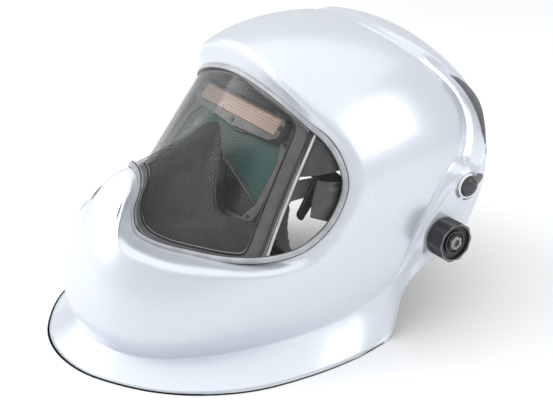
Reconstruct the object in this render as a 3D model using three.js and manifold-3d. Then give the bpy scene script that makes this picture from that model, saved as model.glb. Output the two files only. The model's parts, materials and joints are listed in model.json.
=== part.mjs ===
// Welding helmet with an auto-darkening filter cassette, resting on its neck flange.
// Millimetres, +Z up, front of the helmet towards -Y, wearer's left towards +X.
// The origin is on the table plane, in the symmetry plane.
import * as THREE from 'three';
import { mergeVertices } from 'three/addons/utils/BufferGeometryUtils.js';
import Module from 'manifold-3d';

const wasm = await Module();
wasm.setup();

const vec = (x, y, z) => new THREE.Vector3(x, y, z);
const DEG = Math.PI / 180;
const GAP = 0.3;

// ---------------------------------------------------------------- driving dimensions
const SHELL_THICKNESS = 2.6;
const HEAD_CENTRE = vec(0, 20, 100);
const POLE_HALF_WIDTH = 112;
const TABLE_CUT = 400;

const PIVOT = vec(0, 101, 74);
const BOSS_FACE_X = 115;
const BOSS_FLOOR_X = 112.4;
const BUTTON_AT = vec(BOSS_FACE_X, 124, 110);
const BOSS_RADIUS = 17;
const BUTTON_BOSS_RADIUS = 12;
const BOSS_BLEND = 8;
const BOSS_BACK_X = 110.4;
const POCKET_RADIUS = 15;
const BUTTON_POCKET_RADIUS = 11;
const BUTTON_RING_RADIUS = 9.8;
const BOLT_RADIUS = 3;
const BUTTON_RADIUS = 8;
const BUTTON_FLANGE_RADIUS = 8.8;
// X range that bores and cuts through the ear run over.
const INSIDE_X = 90;
const OUTSIDE_X = 140;

const SEAL_RADIUS = 1.9;
const LENS_RADIUS = 120;
const LENS_LEAN = 0.8;
const LENS_FRONT_Y = -32.4;
const LENS_REF_Z = 162;
const LENS_THICKNESS = 2;
const HOLDER_SETBACK = 4.4;
const HOLDER_THICKNESS = 2;

const CASSETTE_CENTRE = vec(0, -31.4, 135.5);
const CASSETTE_TILT = Math.PI / 2 - Math.atan(LENS_LEAN);
const BAR_DEPTH = 8;
const HOUSING_DEPTH = 12;
const SHROUD_DROP = 2;

const HEADGEAR_PARKED = 45 * DEG;
const HEAD_HALF_WIDTH = 78;
const HEAD_HALF_LENGTH = 94;
const HEAD_MIDDLE_Y = 10;
const BAND_THICKNESS = 2.2;
const STRAP_THICKNESS = 1.6;
const STRAP_HALF_HEIGHT = 7;
const RAIL_X = 97;
const RAIL_THICKNESS = 3.5;

// ---------------------------------------------------------------- the shell's surface
// Radius from the head centre to the surface in the symmetry plane, by angle: 0 is the
// front, 90 the top and 180 the back.
const sideProfile = [
  [-165, 168], [-150, 160], [-120, 150], [-90, 146], [-60, 158], [-40, 180], [-25, 193],
  [-18, 181], [-10, 170], [-3, 159], [3, 149], [9, 139], [15, 130], [22, 122], [40, 108],
  [55, 108], [67, 116], [81, 122], [94, 126], [107, 132], [122, 143], [134, 154], [145, 161],
  [160, 172], [180, 176],
];
// Exponent of the superellipse that each slice around the X axis follows.
const roundness = [
  [-165, 3.2], [-120, 3], [-80, 3], [-45, 2.5], [-20, 2.3], [0, 1.9], [15, 1.9], [30, 2.1],
  [60, 2.15], [90, 2.2], [120, 2.4], [145, 2.8], [165, 3.2],
];
const halfWidth = [
  [-165, 115], [-120, 114], [-80, 114], [-45, 114], [-20, 114], [0, 112], [30, 108],
  [60, 104], [90, 104], [120, 107], [145, 112], [165, 115],
];

// Outlines of the half on the wearer's left, from the front of the symmetry plane (index 0)
// round to the top or back of it (index 17). Points with one index lie on one column.
// Centre line of the seal round the window, from the top of the nose notch.
const windowEdge = [
  [0, -100, 138], [6, -98.5, 133], [11, -101, 124], [15, -109, 109], [21, -110, 95],
  [34, -103, 89], [56, -85, 85], [80, -65, 84], [97, -43, 86], [104, -20, 91],
  [106, 3, 107], [104, 16, 131], [99, 15, 148], [90, 10, 162], [76, 3, 172], [58, -2, 181],
  [32, -6, 189], [0, -8, 193],
];
// Ridge where the outer surface breaks into the window recess: azimuth, elevation.
const ridge = [
  [0, 15], [4.2, 14.2], [7.2, 10.5], [8.4, 5], [11.5, -0.5], [23, -3.6], [42, -6.4],
  [60, -9], [74, -8], [85, -1], [91.5, 8], [93.7, 17.5], [92, 27], [86.5, 36], [76, 47.5],
  [61, 59.5], [38, 70], [0, 74],
];
// Crease above the neck flange, then the front line of the ear boss and of the rear collar.
const crease = [
  [0, -27.6], [9, -27.8], [18, -28.6], [28, -30], [40, -32], [54, -34.3], [70, -35.6],
  [88, -34.3], [104, -29.8], [113.5, -22.5], [117.5, -14.4], [121, -6], [129, 4], [140, 11.5],
  [146.5, 23], [145.5, 42], [156, 58], [180, 62],
];
// Free edge of the shell: flange rim, lower edge of the ear, rear edge of the collar.
const freeEdge = [
  [0, -169, -1], [32, -164, -1], [60, -150, -1], [86, -130, -1], [106, -105, -1], [121, -72, -1],
  [127, -30, -1], [126, 14, -1], [119, 50, 1], [116, 66, 38], [115.5, 86, 54], [115, 112, 59],
  [114, 130, 82], [110, 146, 112], [99, 153, 144], [75, 155, 174], [39, 153, 192],
  [0, 152, 198],
];
const LAST = 17;
const SAMPLES_PER_STEP = 2;
const COLUMNS = 2 * LAST * SAMPLES_PER_STEP;

// Periodic function of an angle through [angle, value] pairs, rounded with a Gaussian.
function smoothRing(pairs, blur) {
  const raw = (deg) => {
    const a = THREE.MathUtils.euclideanModulo(deg - pairs[0][0], 360) + pairs[0][0];
    const next = pairs.findIndex((p) => p[0] > a);
    const hi = next < 0 ? [pairs[0][0] + 360, pairs[0][1]] : pairs[next];
    const lo = next < 0 ? pairs[pairs.length - 1] : pairs[next - 1];
    return lo[1] + ((hi[1] - lo[1]) * (a - lo[0])) / (hi[0] - lo[0]);
  };
  const offsets = Array.from({ length: 61 }, (_, i) => ((i - 30) / 10) * blur);
  const weights = offsets.map((d) => Math.exp(-0.5 * (d / blur) ** 2));
  const total = weights.reduce((a, b) => a + b);
  const smooth = (deg) => offsets.reduce((s, d, i) => s + weights[i] * raw(deg + d), 0) / total;
  const table = Array.from({ length: 721 }, (_, i) => smooth(i / 2 - 180));
  return (deg) => {
    const u = (THREE.MathUtils.euclideanModulo(deg + 180, 360)) * 2;
    const i = Math.floor(u);
    return table[i] + (table[Math.min(i + 1, 720)] - table[i]) * (u - i);
  };
}

const profileAt = smoothRing(sideProfile, 6);
const roundnessAt = smoothRing(roundness, 15);
const halfWidthAt = smoothRing(halfWidth, 15);

// Direction from the head centre: azimuth 0 is the front and 90 the wearer's left.
function direction([azimuth, elevation]) {
  const a = azimuth * DEG;
  const e = elevation * DEG;
  return vec(Math.sin(a) * Math.cos(e), -Math.cos(a) * Math.cos(e), Math.sin(e));
}

function surfacePoint(dir) {
  const d = dir.clone().normalize();
  const slice = Math.atan2(d.z, -d.y) / DEG;
  const across = Math.hypot(d.y, d.z);
  const along = Math.max(Math.abs(d.x), 1e-9);
  const width = POLE_HALF_WIDTH + (halfWidthAt(slice) - POLE_HALF_WIDTH) * across * across;
  const n = roundnessAt(slice);
  const radius = ((across / profileAt(slice)) ** n + (along / width) ** n) ** (-1 / n);
  return d.multiplyScalar(radius).add(HEAD_CENTRE);
}

// Closed smooth curve through a half outline and its mirror image.
function mirroredCurve(half) {
  const back = half.slice(1, -1).reverse().map((p) => vec(-p.x, p.y, p.z));
  return new THREE.CatmullRomCurve3([...half, ...back], true, 'centripetal');
}

const sampled = (curve, count) => Array.from({ length: count }, (_, i) => curve.getPoint(i / count));
const mirroredLoop = (half) => sampled(mirroredCurve(half), COLUMNS);
const toVectors = (list) => list.map((p) => vec(...p));
const onSurface = (list) => list.map((p) => surfacePoint(direction(p)));
const sealCurve = mirroredCurve(toVectors(windowEdge));
const sealLoop = sampled(sealCurve, COLUMNS);
const ridgeLoop = mirroredLoop(onSurface(ridge)).map((p) => surfacePoint(p.sub(HEAD_CENTRE)));
const creaseLoop = mirroredLoop(onSurface(crease)).map((p) => surfacePoint(p.sub(HEAD_CENTRE)));
const edgeLoop = mirroredLoop(toVectors(freeEdge));

// ---------------------------------------------------------------- solids from loops and grids
// Body from positions and triangles, turned so that its faces point out.
function body(positions, triangles) {
  let volume = 0;
  for (const [a, b, c] of triangles) {
    volume += positions[a].dot(positions[b].clone().cross(positions[c]));
  }
  const faces = volume > 0 ? triangles : triangles.map(([a, b, c]) => [a, c, b]);
  const geometry = new THREE.BufferGeometry();
  const numbers = positions.flatMap((p) => [p.x, p.y, p.z]);
  geometry.setAttribute('position', new THREE.Float32BufferAttribute(numbers, 3));
  geometry.setIndex(faces.flat());
  return geometry;
}

// Two triangles over four corners, split along the shorter diagonal.
function pushQuad(triangles, positions, [a, b, c, d]) {
  if (positions[a].distanceTo(positions[c]) <= positions[b].distanceTo(positions[d])) {
    triangles.push([a, b, c], [a, c, d]);
  } else {
    triangles.push([a, b, d], [b, c, d]);
  }
}

// Skin through successive loops; the last joins the first.
function skin(loops) {
  const n = loops[0].length;
  const positions = loops.flat();
  const triangles = [];
  for (let k = 0; k < loops.length; k += 1) {
    const here = k * n;
    const next = ((k + 1) % loops.length) * n;
    for (let i = 0; i < n; i += 1) {
      const j = (i + 1) % n;
      pushQuad(triangles, positions, [here + i, here + j, next + j, next + i]);
    }
  }
  return body(positions, triangles);
}

// Plate between two faces given as grids[row][column]; its border is stitched.
function plate(front, back) {
  const rows = front.length;
  const cols = front[0].length;
  const positions = [...front.flat(), ...back.flat()];
  const offset = rows * cols;
  const triangles = [];
  const quad = (...corners) => pushQuad(triangles, positions, corners);
  for (let r = 0; r < rows - 1; r += 1) {
    for (let c = 0; c < cols - 1; c += 1) {
      const i = r * cols + c;
      quad(i, i + 1, i + 1 + cols, i + cols);
      quad(offset + i, offset + i + cols, offset + i + cols + 1, offset + i + 1);
    }
  }
  const border = [];
  for (let c = 0; c < cols - 1; c += 1) border.push(c);
  for (let r = 0; r < rows - 1; r += 1) border.push(r * cols + cols - 1);
  for (let c = cols - 1; c > 0; c -= 1) border.push((rows - 1) * cols + c);
  for (let r = rows - 1; r > 0; r -= 1) border.push(r * cols);
  border.forEach((a, i) => {
    const b = border[(i + 1) % border.length];
    quad(b, a, offset + a, offset + b);
  });
  return body(positions, triangles);
}

// Unit normals of rows of points; columns close on themselves when wrap is true.
function gridNormals(rows, wrap) {
  return rows.map((row, r) => row.map((_, c) => {
    const n = row.length;
    const left = wrap ? row[(c + n - 1) % n] : row[Math.max(c - 1, 0)];
    const right = wrap ? row[(c + 1) % n] : row[Math.min(c + 1, n - 1)];
    const up = rows[Math.min(r + 1, rows.length - 1)][c];
    const down = rows[Math.max(r - 1, 0)][c];
    return right.clone().sub(left).cross(up.clone().sub(down)).normalize();
  }));
}

const offsetRows = (rows, normals, distance) => rows.map((row, r) => row.map(
  (p, c) => p.clone().addScaledVector(normals[r][c], distance),
));

function toManifold(geometry) {
  const bare = geometry.clone();
  bare.deleteAttribute('normal');
  bare.deleteAttribute('uv');
  const merged = mergeVertices(bare, 1e-4);
  return new wasm.Manifold(new wasm.Mesh({
    numProp: 3,
    vertProperties: new Float32Array(merged.attributes.position.array),
    triVerts: new Uint32Array(merged.index.array),
  }));
}

function fromManifold(solid) {
  const mesh = solid.getMesh();
  const geometry = new THREE.BufferGeometry();
  geometry.setAttribute('position', new THREE.Float32BufferAttribute(mesh.vertProperties, 3));
  geometry.setIndex(Array.from(mesh.triVerts));
  return geometry;
}

// Geometry with tools cut away, and optionally with others joined on first.
function carve(geometry, cuts, joins = []) {
  let solid = toManifold(geometry);
  for (const tool of joins) solid = solid.add(toManifold(tool));
  for (const tool of cuts) solid = solid.subtract(toManifold(tool));
  return fromManifold(solid);
}

const box = (w, d, h, at) => new THREE.BoxGeometry(w, d, h).translate(at.x, at.y, at.z);
const cylinderZ = (r, length, at, sides = 24) => new THREE.CylinderGeometry(r, r, length, sides)
  .rotateX(Math.PI / 2).translate(at.x, at.y, at.z);

// Body turned about the X axis through at, from [x, radius] pairs.
function turnedX(pairs, at, sides = 24) {
  const profile = pairs.map(([x, r]) => new THREE.Vector2(r, x));
  return new THREE.LatheGeometry(profile, sides).rotateZ(-Math.PI / 2).translate(0, at.y, at.z);
}

// Ring about the X axis through at, from x0 to x1.
const ringX = (x0, x1, inner, outer, at) => turnedX(
  [[x0, inner], [x0, outer], [x1, outer], [x1, inner], [x0, inner]], at,
);
const rodX = (x0, x1, radius, at, sides = 24) => turnedX(
  [[x0, 0], [x0, radius], [x1, radius], [x1, 0]], at, sides,
);

// The same body on the other side of the symmetry plane.
function mirroredX(geometry) {
  const bare = geometry.clone().scale(-1, 1, 1);
  bare.deleteAttribute('normal');
  bare.deleteAttribute('uv');
  const copy = mergeVertices(bare, 1e-4);
  copy.setIndex(Array.from(copy.index.array).reverse());
  return copy;
}
const onSide = (side, geometry) => (side > 0 ? geometry : mirroredX(geometry));
const SIDES = [['left', 1], ['right', -1]];

// Flat outline given as [u, v] pairs, as a shape with optional holes.
function outlineShape(pairs, holes = []) {
  const shape = new THREE.Shape(pairs.map(([u, v]) => new THREE.Vector2(u, v)));
  shape.holes = holes.map((hole) => new THREE.Path(hole.map(([u, v]) => new THREE.Vector2(u, v))));
  return shape;
}
const extruded = (shape, from, to) => new THREE.ExtrudeGeometry(
  shape, { depth: to - from, bevelEnabled: false },
).translate(0, 0, from);
// Outline in the YZ plane, extruded along X.
const extrudedX = (shape, x0, x1) => extruded(shape, x0, x1)
  .applyMatrix4(new THREE.Matrix4().makeBasis(vec(0, 1, 0), vec(0, 0, 1), vec(1, 0, 0)));
// Half outline from the symmetry plane and its mirror image, as one outline.
const mirroredOutline = (half) => [
  ...half, ...half.filter(([u]) => u > 0).reverse().map(([u, v]) => [-u, v]),
];
// Round outline of a grip with shallow flutes.
const flutedOutline = (radius, flutes, depth) => Array.from({ length: flutes * 6 }, (_, i) => {
  const a = (i / (flutes * 6)) * 2 * Math.PI;
  const r = radius - depth * (0.5 + 0.5 * Math.cos(a * flutes)) ** 2;
  return [r * Math.cos(a), r * Math.sin(a)];
});

// ---------------------------------------------------------------- nodes and materials
const helmet = new THREE.Group();
const paint = (color, roughness, metalness = 0) => () => new THREE.MeshStandardMaterial(
  { color, roughness, metalness },
);
const silverPaint = paint(0xdfe6ee, 0.3, 0.35);
const blackPlastic = paint(0x1b1c1e, 0.45);
const greyPlastic = paint(0x3c3d40, 0.5);
const sealRubber = paint(0x9a9fa4, 0.4);
const copper = paint(0x8d6a5c, 0.35, 0.4);
const steel = paint(0x8c8f93, 0.35, 0.9);
const foam = paint(0x2a2b2e, 0.95);
const boardGreen = paint(0x1f5b3a, 0.6);
const tealGlass = paint(0x2c5a55, 0.08);
const whitePlastic = paint(0xe9ecef, 0.35);
const clearPlastic = () => new THREE.MeshStandardMaterial(
  { color: 0xcfd6da, roughness: 0.08, transparent: true, opacity: 0.3 },
);

function add(name, geometry, material, parent = helmet) {
  const mesh = new THREE.Mesh(geometry, material());
  mesh.name = name;
  parent.add(mesh);
  return mesh;
}

// ---------------------------------------------------------------- shell
// The ear is drawn out to one flat boss that runs from the pivot up to the button.
function earBoss(p) {
  if (Math.abs(p.x) < 80) return p;
  const run = vec(0, BUTTON_AT.y - PIVOT.y, BUTTON_AT.z - PIVOT.z);
  const from = vec(0, p.y - PIVOT.y, p.z - PIVOT.z);
  const along = THREE.MathUtils.clamp(from.dot(run) / run.lengthSq(), 0, 1);
  const distance = from.addScaledVector(run, -along).length();
  const flat = THREE.MathUtils.lerp(BOSS_RADIUS, BUTTON_BOSS_RADIUS, along);
  const w = 1 - THREE.MathUtils.smoothstep(distance, flat, flat + BOSS_BLEND);
  return vec(THREE.MathUtils.lerp(p.x, Math.sign(p.x) * BOSS_FACE_X, w), p.y, p.z);
}

function slerp(a, b, t) {
  const angle = a.angleTo(b);
  return a.clone().multiplyScalar(Math.sin((1 - t) * angle))
    .addScaledVector(b, Math.sin(t * angle)).divideScalar(Math.sin(angle));
}

// Column position folded onto the half outlines' index, 0 to 17.
const outlineIndex = (column) => {
  const step = column / SAMPLES_PER_STEP;
  return Math.min(step, 2 * LAST - step);
};

// Loops of the outer surface, from the seal out over the crown to the free edge.
function outerShellRows() {
  const dirOf = (p) => p.clone().sub(HEAD_CENTRE).normalize();
  const recess = [0, 0.5].map((t) => sealLoop.map((p, i) => {
    const tangent = sealCurve.getTangent(i / COLUMNS);
    const outward = ridgeLoop[i].clone().sub(p).projectOnPlane(tangent).normalize();
    const lip = p.clone().addScaledVector(outward, SEAL_RADIUS + 2 * GAP);
    return lip.lerp(ridgeLoop[i], t);
  }));
  const crown = [0, 1, 2, 3, 4].map((k) => ridgeLoop.map(
    (p, i) => surfacePoint(slerp(dirOf(p), dirOf(creaseLoop[i]), k / 5)),
  ));
  const border = [0, 0.13, 0.4, 0.7, 1].map((t) => creaseLoop.map((p, i) => {
    const end = edgeLoop[i];
    const base = surfacePoint(slerp(dirOf(p), dirOf(end), t));
    const reach = end.clone().sub(surfacePoint(dirOf(end)));
    const raised = THREE.MathUtils.smoothstep(outlineIndex(i), 8.5, 10);
    const flare = t ** 1.2;
    const step = Math.min(t / 0.13, 1);
    return base.addScaledVector(reach, THREE.MathUtils.lerp(flare, step, raised));
  }));
  return [...recess, ...crown, ...border].map((row) => row.map(earBoss));
}

function shellGeometry() {
  const outer = outerShellRows();
  const lining = offsetRows(outer, gridNormals(outer, true), -SHELL_THICKNESS);
  const atPivots = (x0, x1, radius) => SIDES.map(
    ([, side]) => onSide(side, rodX(x0, x1, radius, PIVOT)),
  );
  const atButton = (x0, x1, radius) => rodX(x0, x1, radius, BUTTON_AT);
  const discs = [
    ...atPivots(BOSS_BACK_X, BOSS_FACE_X, BOSS_RADIUS - 0.5),
    atButton(BOSS_BACK_X, BOSS_FACE_X, BUTTON_BOSS_RADIUS + 0.5),
  ];
  const pockets = [
    ...atPivots(INSIDE_X, BOSS_FLOOR_X, POCKET_RADIUS),
    atButton(INSIDE_X, BOSS_FLOOR_X, BUTTON_POCKET_RADIUS),
  ];
  const bores = [
    ...atPivots(INSIDE_X, OUTSIDE_X, BOLT_RADIUS + GAP),
    atButton(INSIDE_X, OUTSIDE_X, BUTTON_RADIUS + GAP),
  ];
  const facings = [
    ...atPivots(BOSS_FACE_X, OUTSIDE_X, BOSS_RADIUS - 0.2),
    atButton(BOSS_FACE_X, OUTSIDE_X, BUTTON_RING_RADIUS + 0.8),
  ];
  const underTable = box(TABLE_CUT, TABLE_CUT, 20, vec(0, 0, -10));
  const sealBed = sealGeometry(SEAL_RADIUS + GAP);
  const cuts = [...pockets, ...bores, ...facings, sealBed, underTable];
  return carve(skin([...outer, ...lining.reverse()]), cuts, discs);
}

// ---------------------------------------------------------------- window: seal, lens, holder
const lensY = (x, z) => LENS_FRONT_Y + LENS_LEAN * (z - LENS_REF_Z)
  + LENS_RADIUS - Math.sqrt(LENS_RADIUS ** 2 - x ** 2);
const lensNormal = (x) => vec(x / Math.sqrt(LENS_RADIUS ** 2 - x ** 2), -1, LENS_LEAN).normalize();

// Along the window edge, the direction that lies in the lens and points into the window.
function intoWindow(p, tangent) {
  return lensNormal(p.x).cross(tangent).normalize();
}

function sealGeometry(radius) {
  const around = 6;
  const rings = Array.from({ length: around }, (_, k) => sealLoop.map((p, i) => {
    const tangent = sealCurve.getTangent(i / COLUMNS);
    const inward = intoWindow(p, tangent);
    const up = tangent.clone().cross(inward);
    const a = (k / around) * 2 * Math.PI;
    return p.clone().addScaledVector(inward, radius * Math.cos(a))
      .addScaledVector(up, radius * Math.sin(a));
  }));
  return skin(rings);
}

// Point on the lens border, inset from the seal, by half outline index.
function lensBorder(index) {
  const t = index / (2 * LAST);
  const p = sealCurve.getPoint(t);
  return p.addScaledVector(intoWindow(p, sealCurve.getTangent(t)), SEAL_RADIUS + 2 * GAP);
}

// Each column of the lens runs from a border index at the bottom to one at the top.
const lensColumns = [
  [0, 17], [3, 16.5], [5, 15.9], [6, 15], [7, 13.8], [8, 12.6], [10.7, 11.3],
];
function topIndex(bottom) {
  const next = lensColumns.findIndex(([b]) => b >= bottom);
  if (next <= 0) return lensColumns[0][1];
  const [b0, t0] = lensColumns[next - 1];
  const [b1, t1] = lensColumns[next];
  return THREE.MathUtils.mapLinear(bottom, b0, b1, t0, t1);
}

function lensColumn(bottomIndex, rows) {
  const low = lensBorder(bottomIndex);
  const high = lensBorder(topIndex(bottomIndex));
  const lowBulge = low.y - lensY(low.x, low.z);
  const highBulge = high.y - lensY(high.x, high.z);
  return Array.from({ length: rows }, (_, r) => {
    const v = r / (rows - 1);
    const x = THREE.MathUtils.lerp(low.x, high.x, v);
    const z = THREE.MathUtils.lerp(low.z, high.z, v);
    return vec(x, lensY(x, z) + lowBulge * (1 - v) ** 4 + highBulge * v ** 4, z);
  });
}

function lensGeometry() {
  const bottoms = [0, 0.5, 1, 1.5, 2, 2.5, 3, 3.5, 4, 4.5, 5, 5.6, 6.2, 6.8, 7.4, 8, 8.7, 9.5, 10.7];
  const leftHalf = bottoms.map((index) => lensColumn(index, 8));
  const rightHalf = leftHalf.slice(1).reverse().map((column) => column.map((p) => vec(-p.x, p.y, p.z)));
  const front = [...rightHalf, ...leftHalf];
  const back = offsetRows(front, gridNormals(front, false), LENS_THICKNESS);
  return carve(plate(front, back), [sealGeometry(SEAL_RADIUS + GAP)]);
}

// Half outlines (x, z) of the frame that carries the lens and the cassette.
const holderOuter = [
  [0, 147], [10, 143], [17, 125], [24, 104], [34, 96], [60, 93], [86, 93], [90, 97],
  [84, 140], [77, 170], [71, 176.5], [40, 184], [0, 188],
];
const holderInner = [
  [0, 157], [14, 151], [23, 128], [31, 110], [38, 104], [60, 101], [78, 101], [80, 104],
  [76, 138], [71, 165], [66, 171], [38, 177], [0, 179],
];

// Half outline of the hole that the cassette's housing sits in, in the cassette's own plane,
// with a point for each point of holderInner.
const shroudHole = [
  [0, -12], [7, -13], [18, -24], [28, -34], [38, -41], [56, -40], [73, -37], [76.5, -26],
  [74, 5], [71.5, 25], [64, 46], [41, 54], [0, 56],
];

// Step that keeps a wall's thickness where two faces with these normals meet.
const mitre = (a, b, thickness) => a.clone().add(b).multiplyScalar(thickness / (1 + a.dot(b)));

// Frame behind the lens with a shroud that runs in from it to the housing, one wall throughout.
function holderGeometry() {
  const count = 72;
  const onLens = (half) => sampled(
    mirroredCurve(half.map(([x, z]) => vec(x, lensY(x, z) + HOLDER_SETBACK, z))), count,
  );
  const tilt = new THREE.Euler(CASSETTE_TILT, 0, 0);
  const depth = -BAR_DEPTH - SHROUD_DROP;
  const hole = sampled(mirroredCurve(
    shroudHole.map(([x, y]) => vec(x, y, depth).applyEuler(tilt).add(CASSETTE_CENTRE)),
  ), count);
  const rim = onLens(holderOuter);
  const corner = onLens(holderInner);
  const backward = (p) => lensNormal(p.x).negate();
  const outward = corner.map((p, i) => {
    const along = corner[(i + 1) % count].clone().sub(corner[(i + count - 1) % count]);
    return hole[i].clone().sub(p).cross(along).normalize();
  });
  const moved = (loop, step) => loop.map((p, i) => p.clone().add(step(p, i)));
  return skin([
    rim, corner, hole,
    moved(hole, (p, i) => outward[i].clone().multiplyScalar(HOLDER_THICKNESS)),
    moved(corner, (p, i) => mitre(outward[i], backward(p), HOLDER_THICKNESS)),
    moved(rim, (p) => backward(p).multiplyScalar(HOLDER_THICKNESS)),
  ]);
}

// Bracket on each side that the latch swings on, as an outline in the YZ plane.
const bracketOutline = [[-22, 120], [-11, 134], [7, 133], [7, 120]];
const bracketGeometry = () => extrudedX(outlineShape(bracketOutline), 81.5, 84.7);

// Lever on each side of the holder, as an outline in the YZ plane.
const latchOutline = [[0, 133], [5, 132], [9, 127], [-10, 104], [-13, 106], [-14, 110]];
const latchGeometry = () => extrudedX(outlineShape(latchOutline), 85, 88.5);

add('helmet_shell', shellGeometry(), silverPaint);
add('window_seal', sealGeometry(SEAL_RADIUS), sealRubber);
add('cover_lens', lensGeometry(), clearPlastic);
add('lens_holder', holderGeometry(), greyPlastic);
for (const [name, side] of SIDES) {
  add(`cassette_latch_${name}`, onSide(side, latchGeometry()), blackPlastic);
  add(`latch_bracket_${name}`, onSide(side, bracketGeometry()), greyPlastic);
}

// ---------------------------------------------------------------- filter cassette
// Inside this group Y runs up the face of the cassette and Z points out of it.
const cassette = new THREE.Group();
cassette.position.copy(CASSETTE_CENTRE);
cassette.rotation.x = CASSETTE_TILT;
helmet.add(cassette);

const FACE = -BAR_DEPTH - GAP;
const BACK = FACE - HOUSING_DEPTH;
const STRIP_AT = vec(0, 37.4, 0);
const STRIP_SIZE = [106, 12.4];
const SENSORS = [['left', 55.8, 37.4], ['right', -55.8, 37.4], ['centre', 0, 27]];
const CONTROL_Y = 38.4;
const BOARD_SIZE = [96, 10, 1.6];

const barHalf = [[0, 23], [50, 26], [58.5, 30], [58.5, 41.5], [55, 44.6], [0, 45]];
const housingHalf = [
  [0, -8], [6, -8], [36, -36], [71, -34], [74, -24], [70, 20], [63, 35], [40, 45], [0, 48],
];
const windowHalf = [[0, -0.6], [5, 0.6], [67, -18.6], [63.5, 16], [54.5, 28.8], [0, 21.5]];
// Outline moved about its own middle by a margin, out when positive.
const grown = (half, middleY, margin) => half.map(([x, y]) => {
  const d = Math.hypot(x, y - middleY);
  return [x + (margin * x) / d, y + (margin * (y - middleY)) / d];
});
const WINDOW_MIDDLE_Y = 8;

function bezelGeometry() {
  const bar = extruded(outlineShape(mirroredOutline(barHalf)), -BAR_DEPTH, 0);
  const recess = box(STRIP_SIZE[0] + 2 * GAP, STRIP_SIZE[1] + 2 * GAP, 3, STRIP_AT);
  const wells = SENSORS.map(([, x, y]) => cylinderZ(2.4, 3, vec(x, y, 0)));
  return carve(bar, [recess, ...wells]);
}

function housingGeometry() {
  const opening = mirroredOutline(windowHalf);
  const frame = extruded(outlineShape(mirroredOutline(housingHalf), [opening]), BACK, FACE);
  const pocket = box(BOARD_SIZE[0] + 4, BOARD_SIZE[1] + 2, 12, vec(0, CONTROL_Y, FACE));
  return carve(frame, [pocket]);
}

function filterGlassGeometry() {
  const outline = mirroredOutline(grown(windowHalf, WINDOW_MIDDLE_Y, -0.5));
  return extruded(outlineShape(outline), FACE - 4.2, FACE - 1.2);
}

function innerLensGeometry() {
  const outline = mirroredOutline(grown(windowHalf, WINDOW_MIDDLE_Y, 2.4));
  return extruded(outlineShape(outline), BACK - GAP - 1.2, BACK - GAP);
}

function dialGeometry() {
  return extruded(outlineShape(flutedOutline(6.4, 8, 0.6)), -6, 0);
}

add('cassette_bezel', bezelGeometry(), blackPlastic, cassette);
add('cassette_housing', housingGeometry(), blackPlastic, cassette);
add('filter_glass', filterGlassGeometry(), tealGlass, cassette);
add('solar_strip', box(STRIP_SIZE[0], STRIP_SIZE[1], 1, STRIP_AT.clone().setZ(-0.6)), copper, cassette);
for (const [name, x, y] of SENSORS) {
  add(`light_sensor_${name}`, cylinderZ(2.1, 1.6, vec(x, y, -0.3), 16), tealGlass, cassette);
}
add('inner_cover_lens', innerLensGeometry(), clearPlastic, cassette);
add('control_board', box(...BOARD_SIZE, vec(0, CONTROL_Y, FACE - 3)), boardGreen, cassette);
for (const [name, x] of [['shade_dial', 30], ['sensitivity_dial', -30]]) {
  add(name, dialGeometry(), greyPlastic, cassette).position.set(x, CONTROL_Y, BACK - GAP);
}
add('delay_switch', box(7, 4, 3, vec(0, CONTROL_Y, BACK - GAP - 1.5)), greyPlastic, cassette);

// ---------------------------------------------------------------- grind button on the left ear
function buttonGeometry() {
  const r = BUTTON_RADIUS;
  const dome = [15, 30, 45, 60, 75].map((deg) => [
    BOSS_FACE_X + 2.6 + 3.4 * Math.sin(deg * DEG), r * Math.cos(deg * DEG),
  ]);
  const flange = [[109.4, 0], [109.4, BUTTON_FLANGE_RADIUS], [111.6, BUTTON_FLANGE_RADIUS]];
  const profile = [...flange, [111.6, r], [BOSS_FACE_X + 2.6, r], ...dome];
  return turnedX([...profile, [BOSS_FACE_X + 6, 0]], BUTTON_AT);
}

function switchGeometry() {
  const inner = BUTTON_FLANGE_RADIUS + GAP;
  const cup = [[98, 0], [98, 10.6], [112, 10.6], [112, inner], [105, inner], [105, 0]];
  return turnedX(cup, BUTTON_AT);
}

add('grind_button', buttonGeometry(), blackPlastic);
const buttonRingGeometry = () => ringX(
  BOSS_FACE_X + GAP, BOSS_FACE_X + 2.4, BUTTON_RADIUS + GAP, BUTTON_RING_RADIUS, BUTTON_AT,
);
add('button_ring', buttonRingGeometry(), whitePlastic);
add('grind_switch', switchGeometry(), greyPlastic);

// ---------------------------------------------------------------- pivots
const KNOB_RADIUS = 15.5;
const KNOB_FACE_X = 131.5;
const RECESS_DEPTH = 3;

function knobGeometry() {
  const outline = flutedOutline(KNOB_RADIUS, 10, 1.1).map(([u, v]) => [u + PIVOT.y, v + PIVOT.z]);
  const grip = extrudedX(outlineShape(outline), BOSS_FACE_X + GAP, KNOB_FACE_X);
  const recess = rodX(KNOB_FACE_X - RECESS_DEPTH, KNOB_FACE_X + 5, 10.5, PIVOT);
  const bore = rodX(BOSS_FACE_X - 5, KNOB_FACE_X, BOLT_RADIUS + GAP, PIVOT);
  return carve(grip, [recess, bore]);
}

function boltGeometry() {
  const head = rodX(KNOB_FACE_X - RECESS_DEPTH + GAP, KNOB_FACE_X + 0.8, 5.8, PIVOT, 6);
  return carve(head, [], [rodX(101.3, KNOB_FACE_X - 1, BOLT_RADIUS, PIVOT)]);
}

function tiltDiscGeometry() {
  const disc = ringX(107, 110, BOLT_RADIUS + GAP, 13, PIVOT);
  const notch = (dy) => box(6, 5, 6, vec(108, PIVOT.y + dy, PIVOT.z + 12));
  return carve(disc, [notch(-5), notch(5)]);
}

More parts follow.
